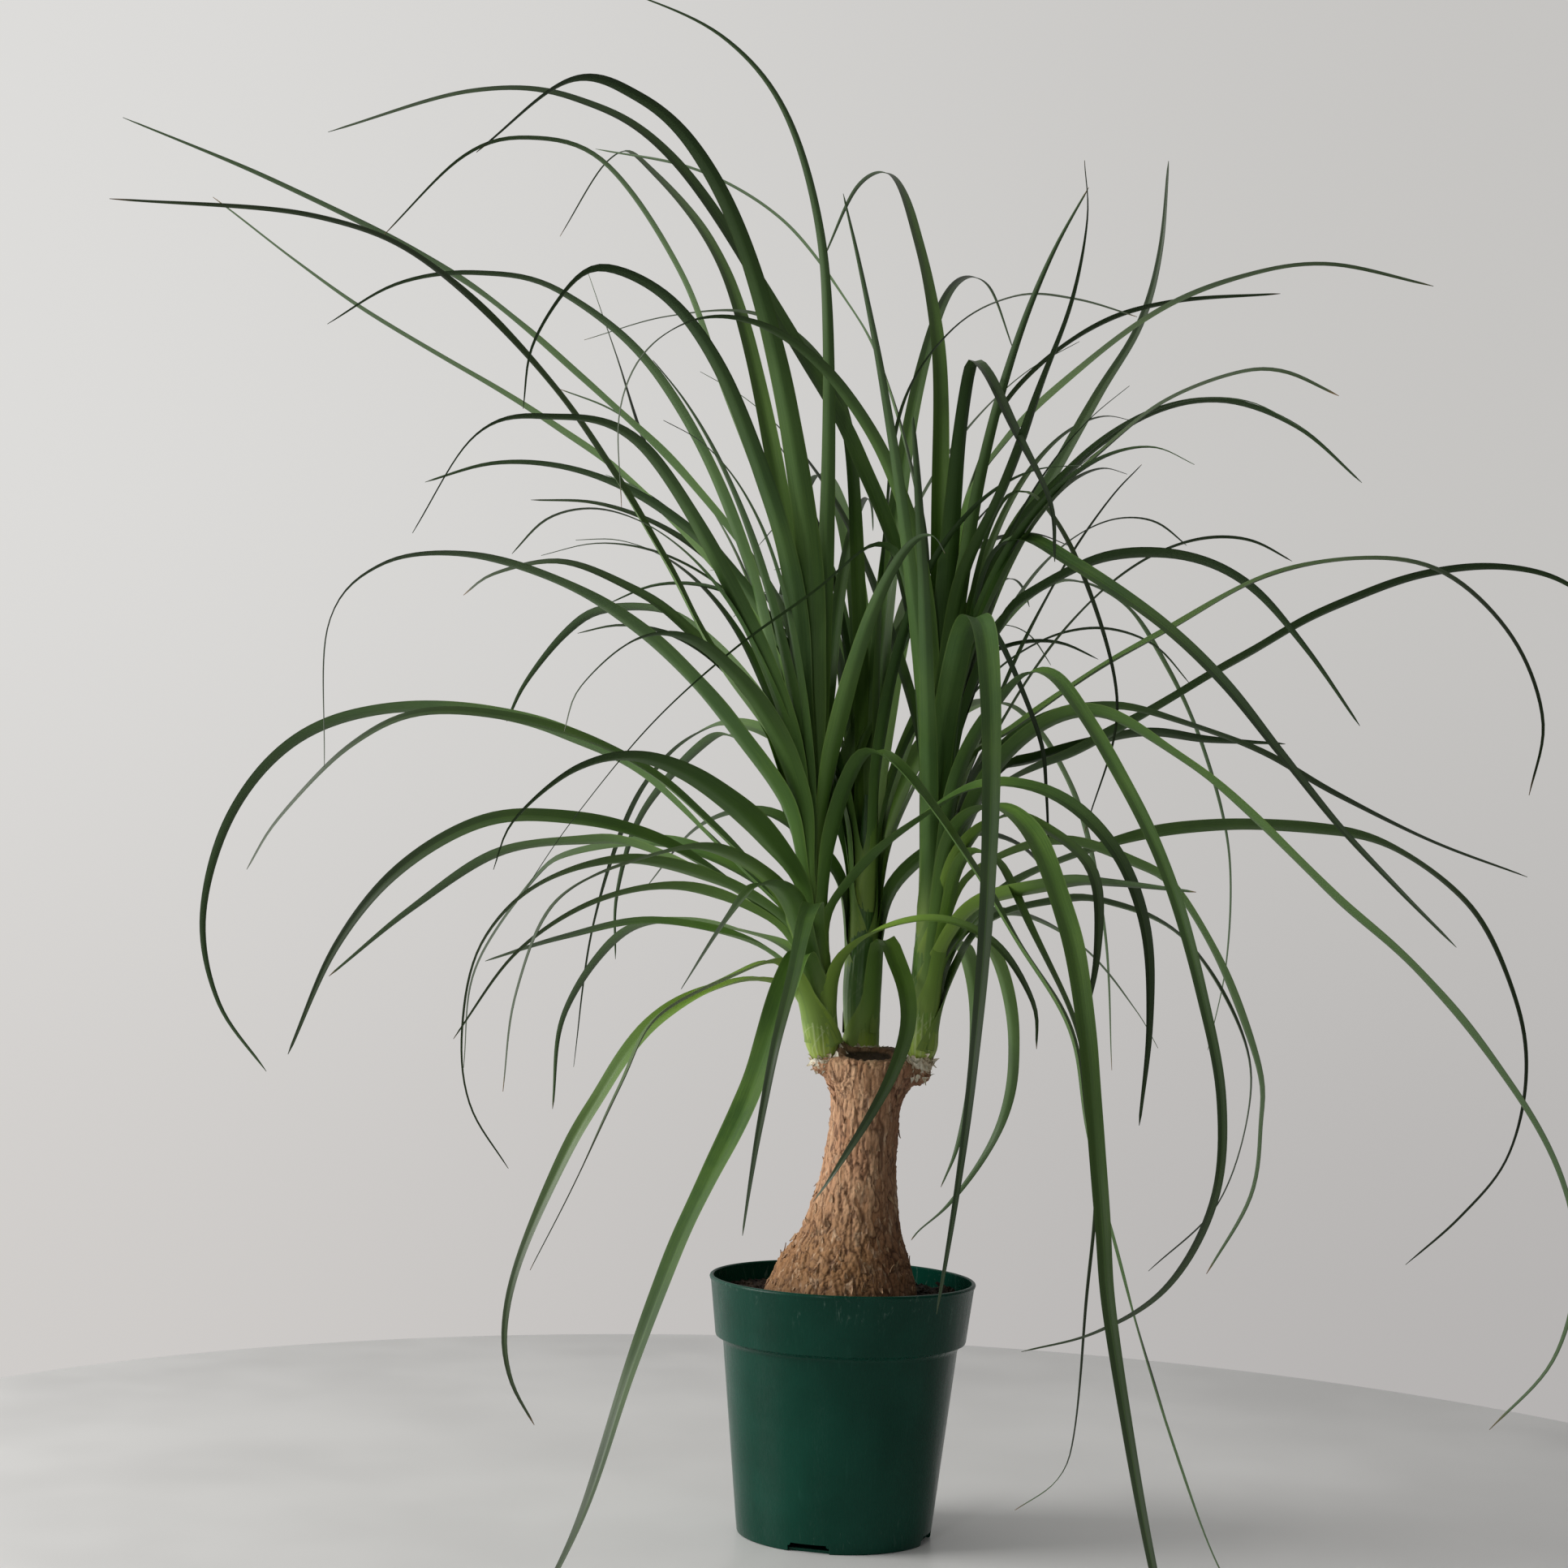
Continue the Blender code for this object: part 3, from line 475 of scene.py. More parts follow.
def soil_material():
    made, tree, shader = new_material("potting_mix")
    place = node(tree, "ShaderNodeTexCoord").outputs["Object"]
    crumbs = cloud(tree, place, 420.0, 5.0, 0.7)
    clods = cloud(tree, place, 90.0, 3.0)
    brown = blend(tree, spread(tree, clods, 0.35, 0.65), colour(0.011, 0.008, 0.006),
                  colour(0.034, 0.023, 0.015))
    brown = blend(tree, spread(tree, crumbs, 0.60, 0.72, 0.0, 0.7), brown, colour(0.11, 0.070, 0.040))
    tree.links.new(brown, shader.inputs["Base Color"])
    tree.links.new(spread(tree, crumbs, 0.3, 0.7, 0.8, 0.97), shader.inputs["Roughness"])
    tree.links.new(bump(tree, crumbs, 0.9, 1.0 * MM), shader.inputs["Normal"])
    shader.inputs["Specular IOR Level"].default_value = 0.2
    return made


def pot_material():
    made, tree, shader = new_material("nursery_plastic")
    place = node(tree, "ShaderNodeTexCoord").outputs["Object"]
    height = node(tree, "ShaderNodeSeparateXYZ", {0: place}).outputs["Z"]
    broad = cloud(tree, place, 26.0, 3.0)
    fine = cloud(tree, place, 1500.0, 2.0, 0.5)
    scuffs = cloud(tree, stretched(tree, place, (1.0, 1.0, 0.25)), 260.0, 5.0, 0.75, 1.2)
    drawn = cloud(tree, stretched(tree, place, (1.0, 1.0, 0.03)), 420.0, 3.0, 0.6)
    green = blend(tree, spread(tree, broad, 0.3, 0.7), colour(0.0022, 0.040, 0.0245),
                  colour(0.0038, 0.052, 0.033))
    under_lip = sum_of(tree, "MULTIPLY", spread(tree, height, 0.122, 0.138),
                       spread(tree, scuffs, 0.57, 0.72, 0.0, 0.5))
    low = sum_of(tree, "MULTIPLY", spread(tree, height, 0.028, 0.004),
                 spread(tree, scuffs, 0.60, 0.74, 0.0, 0.35))
    chalk = sum_of(tree, "MAXIMUM", under_lip, low)
    green = blend(tree, chalk, green, colour(0.16, 0.24, 0.20))
    green = blend(tree, spread(tree, drawn, 0.60, 0.78, 0.0, 0.10), green, colour(0.05, 0.16, 0.12))
    tree.links.new(green, shader.inputs["Base Color"])
    rough = sum_of(tree, "ADD", spread(tree, drawn, 0.3, 0.75, 0.23, 0.34),
                   sum_of(tree, "MULTIPLY", chalk, 0.5))
    tree.links.new(rough, shader.inputs["Roughness"])
    skin = sum_of(tree, "ADD", fine, sum_of(tree, "MULTIPLY", drawn, 1.6))
    tree.links.new(bump(tree, skin, 0.12, 0.12 * MM), shader.inputs["Normal"])
    shader.inputs["Specular IOR Level"].default_value = 0.13
    return made


# ---------------------------------------------------------------- meshes

def add_piece(name, mesh, look, nodes=()):
    mesh.materials.clear()
    mesh.materials.append(look)
    made = bpy.data.objects.new(name, mesh)
    bpy.context.scene.collection.objects.link(made)
    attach(made, BODY)
    if nodes:
        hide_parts(*nodes)
    return made


def mesh_of(name, points, faces, sharp_degrees=50, **attributes):
    mesh = bpy.data.meshes.new(name)
    mesh.from_pydata([tuple(point) for point in points], [], faces)
    for key, values in attributes.items():
        layer = mesh.attributes.new(key, "FLOAT", "POINT")
        layer.data.foreach_set("value", np.asarray(values, np.float32))
    mesh.validate()
    mesh.shade_smooth()
    mesh.set_sharp_from_angle(angle=math.radians(sharp_degrees))
    return mesh


def ring_faces(rings, size):
    """Quads between successive rings of points, with the first and last ring closed."""
    faces = []
    for ring in range(rings - 1):
        for step in range(size):
            after = (step + 1) % size
            faces.append((ring * size + step, ring * size + after, (ring + 1) * size + after,
                          (ring + 1) * size + step))
    faces.append(tuple(reversed(range(size))))
    faces.append(tuple((rings - 1) * size + step for step in range(size)))
    return faces


def smooth_rows(rows, steps):
    """Rows of numbers run through a Catmull-Rom curve, with the given steps in each span."""
    rows = [np.array(row, float) for row in rows]
    padded = [2 * rows[0] - rows[1]] + rows + [2 * rows[-1] - rows[-2]]
    made = []
    for index in range(1, len(padded) - 2):
        a, b, c, d = padded[index - 1:index + 3]
        for step in range(steps):
            t = step / steps
            made.append(0.5 * (2 * b + (c - a) * t + (2 * a - 5 * b + 4 * c - d) * t * t
                               + (3 * b - a - 3 * c + d) * t ** 3))
    made.append(rows[-1])
    return np.array(made)


def evenly(points, count):
    """The same line with its points evenly spaced."""
    lengths = np.linalg.norm(np.diff(points, axis=0), axis=1)
    travelled = np.concatenate(([0.0], np.cumsum(lengths)))
    goals = np.linspace(0.0, travelled[-1], count)
    return np.stack([np.interp(goals, travelled, points[:, k]) for k in range(points.shape[1])], axis=1)


def line_length(points):
    return float(np.linalg.norm(np.diff(points, axis=0), axis=1).sum())


def smooth_step(low, high, value):
    t = np.clip((value - low) / (high - low), 0.0, 1.0)
    return t * t * (3 - 2 * t)


def shoot_at(side, height):
    """The shoot's axis point and radius at a height, all in mm."""
    rows = np.array(SHOOTS[side])
    return [float(np.interp(height, rows[:, 0], rows[:, k])) for k in (1, 2, 3)]


def turned_mesh(name, profile, segments):
    """A closed solid turned about Z from (radius, height) pairs that start and end on the axis."""
    points = [(0, 0, profile[0][1])]
    for radius, height in profile[1:-1]:
        for step in range(segments):
            angle = math.tau * step / segments
            points.append((radius * math.cos(angle), radius * math.sin(angle), height))
    points.append((0, 0, profile[-1][1]))
    faces = []
    rings = len(profile) - 2
    for step in range(segments):
        after = (step + 1) % segments
        faces.append((0, 1 + after, 1 + step))
        last = 1 + (rings - 1) * segments
        faces.append((last + step, last + after, len(points) - 1))
        for ring in range(rings - 1):
            low = 1 + ring * segments
            faces.append((low + step, low + after, low + segments + after, low + segments + step))
    mesh = bpy.data.meshes.new(name)
    mesh.from_pydata(points, [], faces)
    return mesh


# ---------------------------------------------------------------- leaves

def leaf_line(side, base_height, toward, turn, route):
    """Points along a leaf from the foot of its sheath to the tip in metres, the direction at each, and the
    length of the sheath."""
    axis_x, axis_y, radius = shoot_at(side, base_height)
    flat = smooth_rows([(radius + 1.2, base_height)] + list(route), 12)
    steps = np.linalg.norm(np.diff(flat, axis=0), axis=1)
    share = np.concatenate(([0.0], np.cumsum(steps))) / steps.sum()
    angles = np.radians(toward + turn * share ** 2)
    blade = np.stack([axis_x + flat[:, 0] * np.cos(angles), axis_y + flat[:, 0] * np.sin(angles),
                      flat[:, 1]], axis=1)
    foot_height = max(base_height - SHEATH_LENGTH, 276)
    sheath = []
    for height in np.linspace(foot_height, base_height, 14)[:-1]:
        x, y, around = shoot_at(side, height)
        climb = (height - foot_height) / (base_height - foot_height)
        reach = around - 0.6 + (SHEATH_LIFT + 0.4) * climb
        sheath.append((x + reach * math.cos(angles[0]), y + reach * math.sin(angles[0]), height))
    sheath = np.array(sheath)
    sheath_length = line_length(np.vstack([sheath, blade[:1]]))
    line = np.vstack([sheath, blade])
    everything = line_length(line)
    line = evenly(line, int(everything / 2.5))
    walked = np.linspace(0.0, everything, len(line))
    bend = np.exp(-((walked - sheath_length) / 15.0) ** 2)
    for _ in range(26):
        middle = 0.5 * (line[:-2] + line[2:])
        line[1:-1] += (middle - line[1:-1]) * (0.6 * bend[1:-1, None] + 0.06)
    count = max(44, int(everything * MM / STATION_STEP))
    line = evenly(line, count)
    walked = np.linspace(0.0, everything, count)
    blade_share = np.clip((walked - sheath_length) / (everything - sheath_length), 0.0, 1.0)
    return line * MM, np.radians(toward + turn * blade_share ** 2), sheath_length * MM


def blade_width_share(t):
    """Blade width along the blade as a share of its full width."""
    fall = np.clip((t - LEAF_TAPER_START) / (1 - LEAF_TAPER_START), 0.0, 1.0)
    share = (0.88 + 0.12 * smooth_step(0.0, 0.14, t)) * (1 - (1 - LEAF_TIP_SHARE) * fall ** LEAF_TAPER_CURVE)
    return share * np.where(t > 0.985, np.maximum(1.0 - (t - 0.985) / 0.02, 0.2), 1.0)


def turn_about(vectors, axes, angles):
    """Each vector turned about its own unit axis."""
    cos, sin = np.cos(angles)[:, None], np.sin(angles)[:, None]
    dots = (vectors * axes).sum(axis=1)[:, None]
    return vectors * cos + np.cross(axes, vectors) * sin + axes * dots * (1 - cos)


def leaf_mesh(name, side, base_height, toward, turn, twist, width, route, seed, tone):
    line, angles, sheath_length = leaf_line(side, base_height, toward, turn, route)
    count = len(line)
    whole = line_length(line)
    walked = np.linspace(0.0, whole, count) - sheath_length
    t = np.clip(walked / (whole - sheath_length), 0.0, 1.0)
    along = np.gradient(line, axis=0)
    along /= np.linalg.norm(along, axis=1)[:, None]
    across = np.stack([-np.sin(angles), np.cos(angles), np.zeros(count)], axis=1)
    sway = np.array([noise.noise(Vector((seed * 7.3, walked[k] / 0.07, 0.0))) for k in range(count)])
    swell = np.array([noise.noise(Vector((seed * 3.1, walked[k] / 0.045, 5.0))) for k in range(count)])
    lean = LEAN_STRENGTH * np.abs(np.cos(angles)) * smooth_step(LEAN_START, LEAN_END, t)
    turning = math.radians(twist) * (t * t + lean) + np.radians(12) * sway * smooth_step(0.0, 0.12, t)
    across = turn_about(across, along, turning)
    across -= along * (across * along).sum(axis=1)[:, None]
    across /= np.linalg.norm(across, axis=1)[:, None]
    upward = np.cross(along, across)
    radius = shoot_at(side, base_height)[2] * MM
    blade_half = 0.5 * width * LEAF_BREADTH * MM * blade_width_share(t) * (1 + 0.05 * swell)
    clasp = smooth_step(0.006, -0.030, walked)
    clasp_half = radius * (0.85 + 1.5 * clasp)
    opened = smooth_step(-0.002, 0.055, walked)
    half = (1 - opened) * np.maximum(clasp_half, 0.75 * blade_half) + opened * blade_half
    curl = 1.0 / (radius + 1.0 * MM)
    side_share = np.linspace(-1.0, 1.0, SECTION_POINTS)
    wrap = np.clip(curl * half[:, None] * side_share[None, :], -2.6, 2.6)
    arc_x, arc_y = np.sin(wrap) / curl, (1 - np.cos(wrap)) / curl
    channel = CHANNEL_SHARE * (1 + 0.45 * swell) * (1 - 0.35 * t)
    vee_x = half[:, None] * side_share[None, :]
    vee_y = 2 * half[:, None] * channel[:, None] * (np.sqrt(side_share ** 2 + 0.012) - 0.11)[None, :]
    mixed = smooth_step(0.0, 0.06, walked)[:, None]
    x = (1 - mixed) * arc_x + mixed * vee_x
    y = (1 - mixed) * arc_y + mixed * vee_y
    middle_thick = LEAF_THICKNESS * (1 - 0.45 * t)
    edge_thick = LEAF_EDGE_THICKNESS
    thick = edge_thick + (middle_thick[:, None] - edge_thick) * (1 - np.abs(side_share) ** 2.5)[None, :]
    thick[:, 0] = 0.0
    thick[:, -1] = 0.0
    top = (line[:, None, :] + across[:, None, :] * x[:, :, None]
           + upward[:, None, :] * (y + thick / 2)[:, :, None])
    low = (line[:, None, :] + across[:, None, :] * x[:, :, None]
           + upward[:, None, :] * (y - thick / 2)[:, :, None])
    back = low[:, -2:0:-1, :]
    points = np.concatenate([top, back], axis=1)
    sunk = np.minimum(points[:, :, 2].min(axis=1), 0.0)
    points[:, :, 2] -= sunk[:, None]
    size = points.shape[1]
    side_values = np.concatenate([side_share, side_share[-2:0:-1]])
    under = np.concatenate([np.zeros(SECTION_POINTS), np.ones(SECTION_POINTS - 2)])
    rows = np.ones(count)
    return mesh_of(name, points.reshape(-1, 3), ring_faces(count, size), 70,
                   along=np.repeat(t, size), foot=np.repeat(walked * 10, size),
                   across=np.tile(side_values, count), under=np.tile(under, count),
                   tone=np.repeat(rows * tone, size))


def crown_route(random_source, base_height):
    """The route of a slim inner leaf, which rises steeply and then bends over."""
    steep = math.radians(random_source.uniform(64, 85))
    droop = math.radians(random_source.uniform(30, 110))
    length = random_source.uniform(210, 370)
    reach, height = 4.0, base_height + 8
    route = []
    parts = 9
    for part in range(parts):
        share = (part + 1) / parts
        slope = steep - droop * share ** 2.1
        reach += math.cos(slope) * length / parts
        height += math.sin(slope) * length / parts
        route.append((reach, height))
    return route


def make_leaves(look):
    source = random.Random(CROWN_SEED)
    seed = 0
    for side, rows in LEAVES.items():
        for rank, (toward, turn, twist, width, route) in enumerate(rows):
            seed += 1
            height = LOWEST_LEAF_HEIGHT + LEAF_ZONE[side] * rank / (len(rows) - 1)
            mesh = leaf_mesh(f"palm_{side}_{rank + 1:02d}", side, height, toward, turn, twist, width, route,
                             seed, source.uniform(0.15, 0.85))
            add_piece(mesh.name, mesh, look, [f"{side}_leaf_{rank + 1:02d}"])
    for side, rows in SPARE_LEAVES.items():
        for rank, (height, toward, turn, twist, width, route) in enumerate(rows):
            seed += 1
            mesh = leaf_mesh(f"palm_{side}_spare_{rank + 1:02d}", side, height, toward, turn, twist, width,
                             route, seed, source.uniform(0.1, 0.8))
            add_piece(mesh.name, mesh, look)
    for side, groups in CROWN_GROUPS.items():
        rank = 0
        for count, middle, reach in groups:
            for _ in range(count):
                seed += 1
                rank += 1
                height = LOWEST_LEAF_HEIGHT + LEAF_ZONE[side] * source.uniform(0.45, 0.98)
                route = crown_route(source, height)
                mesh = leaf_mesh(f"palm_{side}_inner_{rank:02d}", side, height,
                                 middle + source.uniform(-reach, reach), source.uniform(-12, 12),
                                 source.uniform(-35, 35), source.uniform(6, 9), route, seed,
                                 source.uniform(0.1, 0.8))
                add_piece(mesh.name, mesh, look)


# ---------------------------------------------------------------- shoots

def make_shoot(side, look):
    """A column of clasping sheaths, with a raised slanting edge where each one ends."""
    rows = smooth_rows(SHOOTS[side], 22)
    segments = 96
    low = rows[0][0]
    overlaps = []
    for index in range(9):
        middle = math.radians(137.5 * index + {"left": 250, "middle": 300, "right": 215}[side])
        overlaps.append((middle, low + 22 + 11 * index))
    points, edges = [], []
    for height, x, y, radius in rows:
        for step in range(segments):
            angle = math.tau * step / segments
            grown = 0.0
            edge = 0.0
            for middle, top in overlaps:
                away = abs((angle - middle + math.pi) % math.tau - math.pi)
                rise = (height - (top - 26)) / 26
                if rise < 1.0:
                    reach = 2.9 * (1 - max(rise, 0.0)) ** 0.7
                    cover = float(smooth_step(reach + 0.07, reach - 0.07, away))
                    grown += 0.34 * cover
                    edge = max(edge, 4 * cover * (1 - cover))
            ripple = 0.10 * math.sin(angle * 23 + 3 * math.sin(height * 0.05))
            around = radius - 0.9 + min(grown, 1.3) + ripple
            points.append(((x + around * math.cos(angle)) * MM, (y + around * math.sin(angle)) * MM,
                           height * MM))
            edges.append(edge)
    # The middle shoot gets much more painted shade than the others
    shade = 0.7 if side == "middle" else 0.15
    mesh = mesh_of(f"shoot_{side}", points, ring_faces(len(rows), segments), 60, edge=edges,
                   shade=[shade] * len(points))
    add_piece(mesh.name, mesh, look, [f"{side}_shoot"])


# ---------------------------------------------------------------- trunk

def applied(piece):
    """The object's mesh with its modifiers applied."""
    graph = bpy.context.evaluated_depsgraph_get()
    return bpy.data.meshes.new_from_object(piece.evaluated_get(graph))


def plain_trunk():
    """The trunk with its collars as one evenly meshed skin."""
    rows = smooth_rows(TRUNK_SECTIONS, 6)
    segments = 80
    points = []
    for height, x, half_width, half_depth in rows:
        for step in range(segments):
            angle = math.tau * step / segments
            points.append(((x + half_width * math.cos(angle)) * MM, half_depth * math.sin(angle) * MM,
                           height * MM))
    faces = ring_faces(len(rows), segments)
    bm = bmesh.new()
    shell = bpy.data.meshes.new("trunk_shell")
    shell.from_pydata(points, [], faces)
    bm.from_mesh(shell)
    for x, y, z, half_width, half_depth, half_height in KNOBS:
        where = Matrix.Translation(Vector((x, y, z)) * MM)
        size = Matrix.Diagonal((half_width * MM, half_depth * MM, half_height * MM, 1))
        bmesh.ops.create_uvsphere(bm, u_segments=32, v_segments=20, radius=1, matrix=where @ size)
    bm.to_mesh(shell)
    bm.free()
    maker = bpy.data.objects.new("trunk_maker", shell)
    bpy.context.scene.collection.objects.link(maker)
    remesh = maker.modifiers.new("skin", "REMESH")
    remesh.mode = "VOXEL"
    remesh.voxel_size = 0.75 * MM
    smooth = maker.modifiers.new("smooth", "SMOOTH")
    smooth.factor = 0.5
    smooth.iterations = 9
    mesh = applied(maker)
    bpy.data.objects.remove(maker)
    return mesh


def bark_relief(point, normal):
    """How far the bark stands out at a point in mm, how deep it is in a crack, and the plate's tone."""
    x, y, z = point.x / MM, point.y / MM, point.z / MM
    low = float(smooth_step(215, 150, z))
    warp = noise.noise_vector(Vector((x / 7, y / 7, z / 16)))
    fine_warp = noise.noise_vector(Vector((x / 2.6 + 5, y / 2.6, z / 6)))
    wide = 3.1 + 0.4 * low
    tall = 17.0 - 4.5 * low
    spot = Vector((x / wide, y / wide, z / tall)) + warp * 1.1 + fine_warp * 0.22
    near, spots = noise.voronoi(spot, distance_metric="DISTANCE", exponent=2.5)
    shown = float(smooth_step(-0.25, 0.2, noise.noise(Vector((x / 8 + 3, y / 8, z / 12)))))
    crack = (1 - float(smooth_step(0.01, 0.15, near[1] - near[0]))) * (0.35 + 0.65 * shown)
    seam = noise.noise(Vector((x / 6.5 + 11, y / 6.5, z / 50))) + 0.3 * warp.x
    fissure = 1 - float(smooth_step(0.0, 0.075, abs(seam)))
    thread = noise.noise(Vector((x / 1.7, y / 1.7, z / 11)) + warp * 0.8)
    fibre = 1 - float(smooth_step(0.0, 0.10, abs(thread)))
    tone = (math.sin(spots[0].x * 12.9 + spots[0].y * 78.2 + spots[0].z * 37.7) * 43758.5) % 1.0
    lean = (spot - spots[0]).x * 0.9 + (spot - spots[0]).z * 0.35
    rough = noise.turbulence(Vector((x / 2.0, y / 2.0, z / 5.0)), 3, False, amplitude_scale=0.6)
    depth = 0.6 + 0.35 * low
    stands = depth * (0.55 * tone + 0.75 * lean - 0.7 * crack) - 0.65 * fissure - 0.22 * fibre
    stands += 0.6 * (rough - 0.3)
    return stands, min(1.0, max(crack * 0.9, fissure * 0.85, fibre * 0.4)), tone


def head_rise(x, y):
    """How far the cut head of the trunk stands above a level cut, in mm: it slopes down to the front."""
    slope = 6.0 * float(smooth_step(-19, 5, y) * smooth_step(-13, -5, x) * smooth_step(33, 25, x))
    ridge = 3.4 * math.exp(-((x + 6) / 3.6) ** 2) * float(smooth_step(-17, -6, y))
    crumpled = 1.1 * noise.noise(Vector((x / 3.1, y / 3.1, 4.0))) * float(smooth_step(-5, -14, y))
    return slope + ridge + crumpled


def make_trunk(look):
    mesh = plain_trunk()
    mesh.name = "palm_trunk"
    count = len(mesh.vertices)
    normals = [vertex.normal.copy() for vertex in mesh.vertices]
    grooves, plates, scars = [0.0] * count, [0.0] * count, [0.0] * count
    scar_x, scar_y, scar_wide, scar_deep = SCAR
    for index, vertex in enumerate(mesh.vertices):
        point = vertex.co.copy()
        x, y, z = point.x / MM, point.y / MM, point.z / MM
        ragged = 1 + 0.16 * noise.noise(Vector((x / 5, y / 5, 3.0)))
        away = math.hypot((x - scar_x) / scar_wide, (y - scar_y) / scar_deep) * ragged
        hollow = float(smooth_step(1.02, 0.84, away)) * float(smooth_step(264, 268, z))
        stands, groove, tone = bark_relief(point, normals[index])
        on_top = float(smooth_step(0.75, 0.95, normals[index].z)) * float(smooth_step(266, 270, z))
        stands *= 1 - 0.55 * on_top
        if z > 125:
            vertex.co = point + normals[index] * stands * MM
        vertex.co.z += (head_rise(x, y) * float(smooth_step(261, 271, z)) - 2.5 * hollow) * MM
        grooves[index] = groove
        plates[index] = tone
        scars[index] = max(hollow, 0.55 * on_top)
    for key, values in (("groove", grooves), ("plate", plates), ("scar", scars)):
        layer = mesh.attributes.new(key, "FLOAT", "POINT")
        layer.data.foreach_set("value", np.asarray(values, np.float32))
    mesh.shade_smooth()
    made = add_piece("palm_trunk", mesh, look, ["trunk"])
    return made


def flake(base, out, up, length, width, curl, source):
    """Points and faces of one thin torn flake, rooted at base, that lifts away as it goes along up."""
    rows, columns = 6, 4
    beside = out.cross(up).normalized()
    skew = source.uniform(-0.5, 0.5)
    top, bottom = [], []
    for row in range(rows):
        share = row / (rows - 1)
        narrow = (1 - share ** 1.7) * 0.92 + 0.08
        lift = curl * share ** 1.8
        centre = base + up * length * (share - 0.35 * lift * share) + out * (lift * length + 0.15 * MM)
        for column in range(columns):
            beyond = (column / (columns - 1) - 0.5) * 2
            ragged = 1 + 0.25 * source.uniform(-1, 1) * share
            spot = centre + beside * (beyond * narrow * ragged + skew * share) * width / 2
            spot = spot + out * (beyond ** 2) * 0.18 * width
            top.append(spot)
            bottom.append(spot - out * 0.12 * MM)
    points = top + bottom
    offset = len(top)
    faces = []
    for row in range(rows - 1):
        for column in range(columns - 1):
            a = row * columns + column
            quad = (a, a + 1, a + columns + 1, a + columns)
            faces.append(quad)
            faces.append(tuple(offset + k for k in reversed(quad)))
    rim = list(range(columns)) + [row * columns + columns - 1 for row in range(1, rows)]
    rim += [(rows - 1) * columns + column for column in range(columns - 2, -1, -1)]
    rim += [row * columns for row in range(rows - 2, 0, -1)]
    for a, b in zip(rim, rim[1:] + rim[:1]):
        faces.append((b, a, offset + a, offset + b))
    return points, faces


def make_flakes(name, trunk, look, wanted, chooser, source):
    """Torn flakes scattered over the trunk's skin where chooser gives a size."""
    points, faces = [], []
    vertices = trunk.data.vertices
    placed = 0
    while placed < wanted:
        vertex = vertices[source.randrange(len(vertices))]
        found = chooser(vertex.co, vertex.normal, source)
        if found is None:
            continue
        length, width, curl, up = found
        out = vertex.normal.copy()
        up = (up - out * up.dot(out)).normalized()
        made, made_faces = flake(vertex.co - out * 0.25 * MM, out, up, length, width, curl, source)
        start = len(points)
        points += made
        faces += [tuple(start + k for k in face) for face in made_faces]
        placed += 1
    mesh = mesh_of(name, points, faces, 60)
    return add_piece(name, mesh, look)


def bark_flake(place, normal, source):
    if not 0.140 < place.z < 0.268 or abs(normal.z) > 0.6:
        return None
    size = source.uniform(2.2, 6.5) * MM
    up = Vector((source.uniform(-0.35, 0.35), source.uniform(-0.35, 0.35), source.choice((-1, 1, 1))))
    return size, size * source.uniform(0.3, 0.6), source.uniform(0.05, 0.35), up


def collar_flake(place, normal, source):
    for x, y, _, half_width, half_depth, _ in KNOBS:
        away = math.hypot((place.x / MM - x) / half_width, (place.y / MM - y) / half_depth)
        if 0.6 < away < 1.25 and place.z > 0.258:
            right = 1.0 if x > 30 else 0.6
            size = source.uniform(2.2, 6.0) * right * MM
            out = Vector((place.x - x * MM, place.y - y * MM, 0)).normalized()
            up = Vector((0, 0, source.choice((1.0, 1.0, -0.7)))) + out * source.uniform(-0.2, 0.5)
            return size, size * source.uniform(0.45, 0.9), source.uniform(0.1, 0.7), up
    return None


def tube(points, radius, sides=6):
    """Points and faces of a thin closed tube along a line."""
    along = np.gradient(points, axis=0)
    along /= np.linalg.norm(along, axis=1)[:, None]
    helper = np.array((0.31, 0.27, 0.91))
    first = np.cross(along, helper)
    first /= np.linalg.norm(first, axis=1)[:, None]
    second = np.cross(along, first)
    made = []
    for index, point in enumerate(points):
        thin = radius * (1 - 0.7 * index / (len(points) - 1))
        for step in range(sides):
            angle = math.tau * step / sides
            made.append(point + (first[index] * math.cos(angle) + second[index] * math.sin(angle)) * thin)
    return made, ring_faces(len(points), sides)


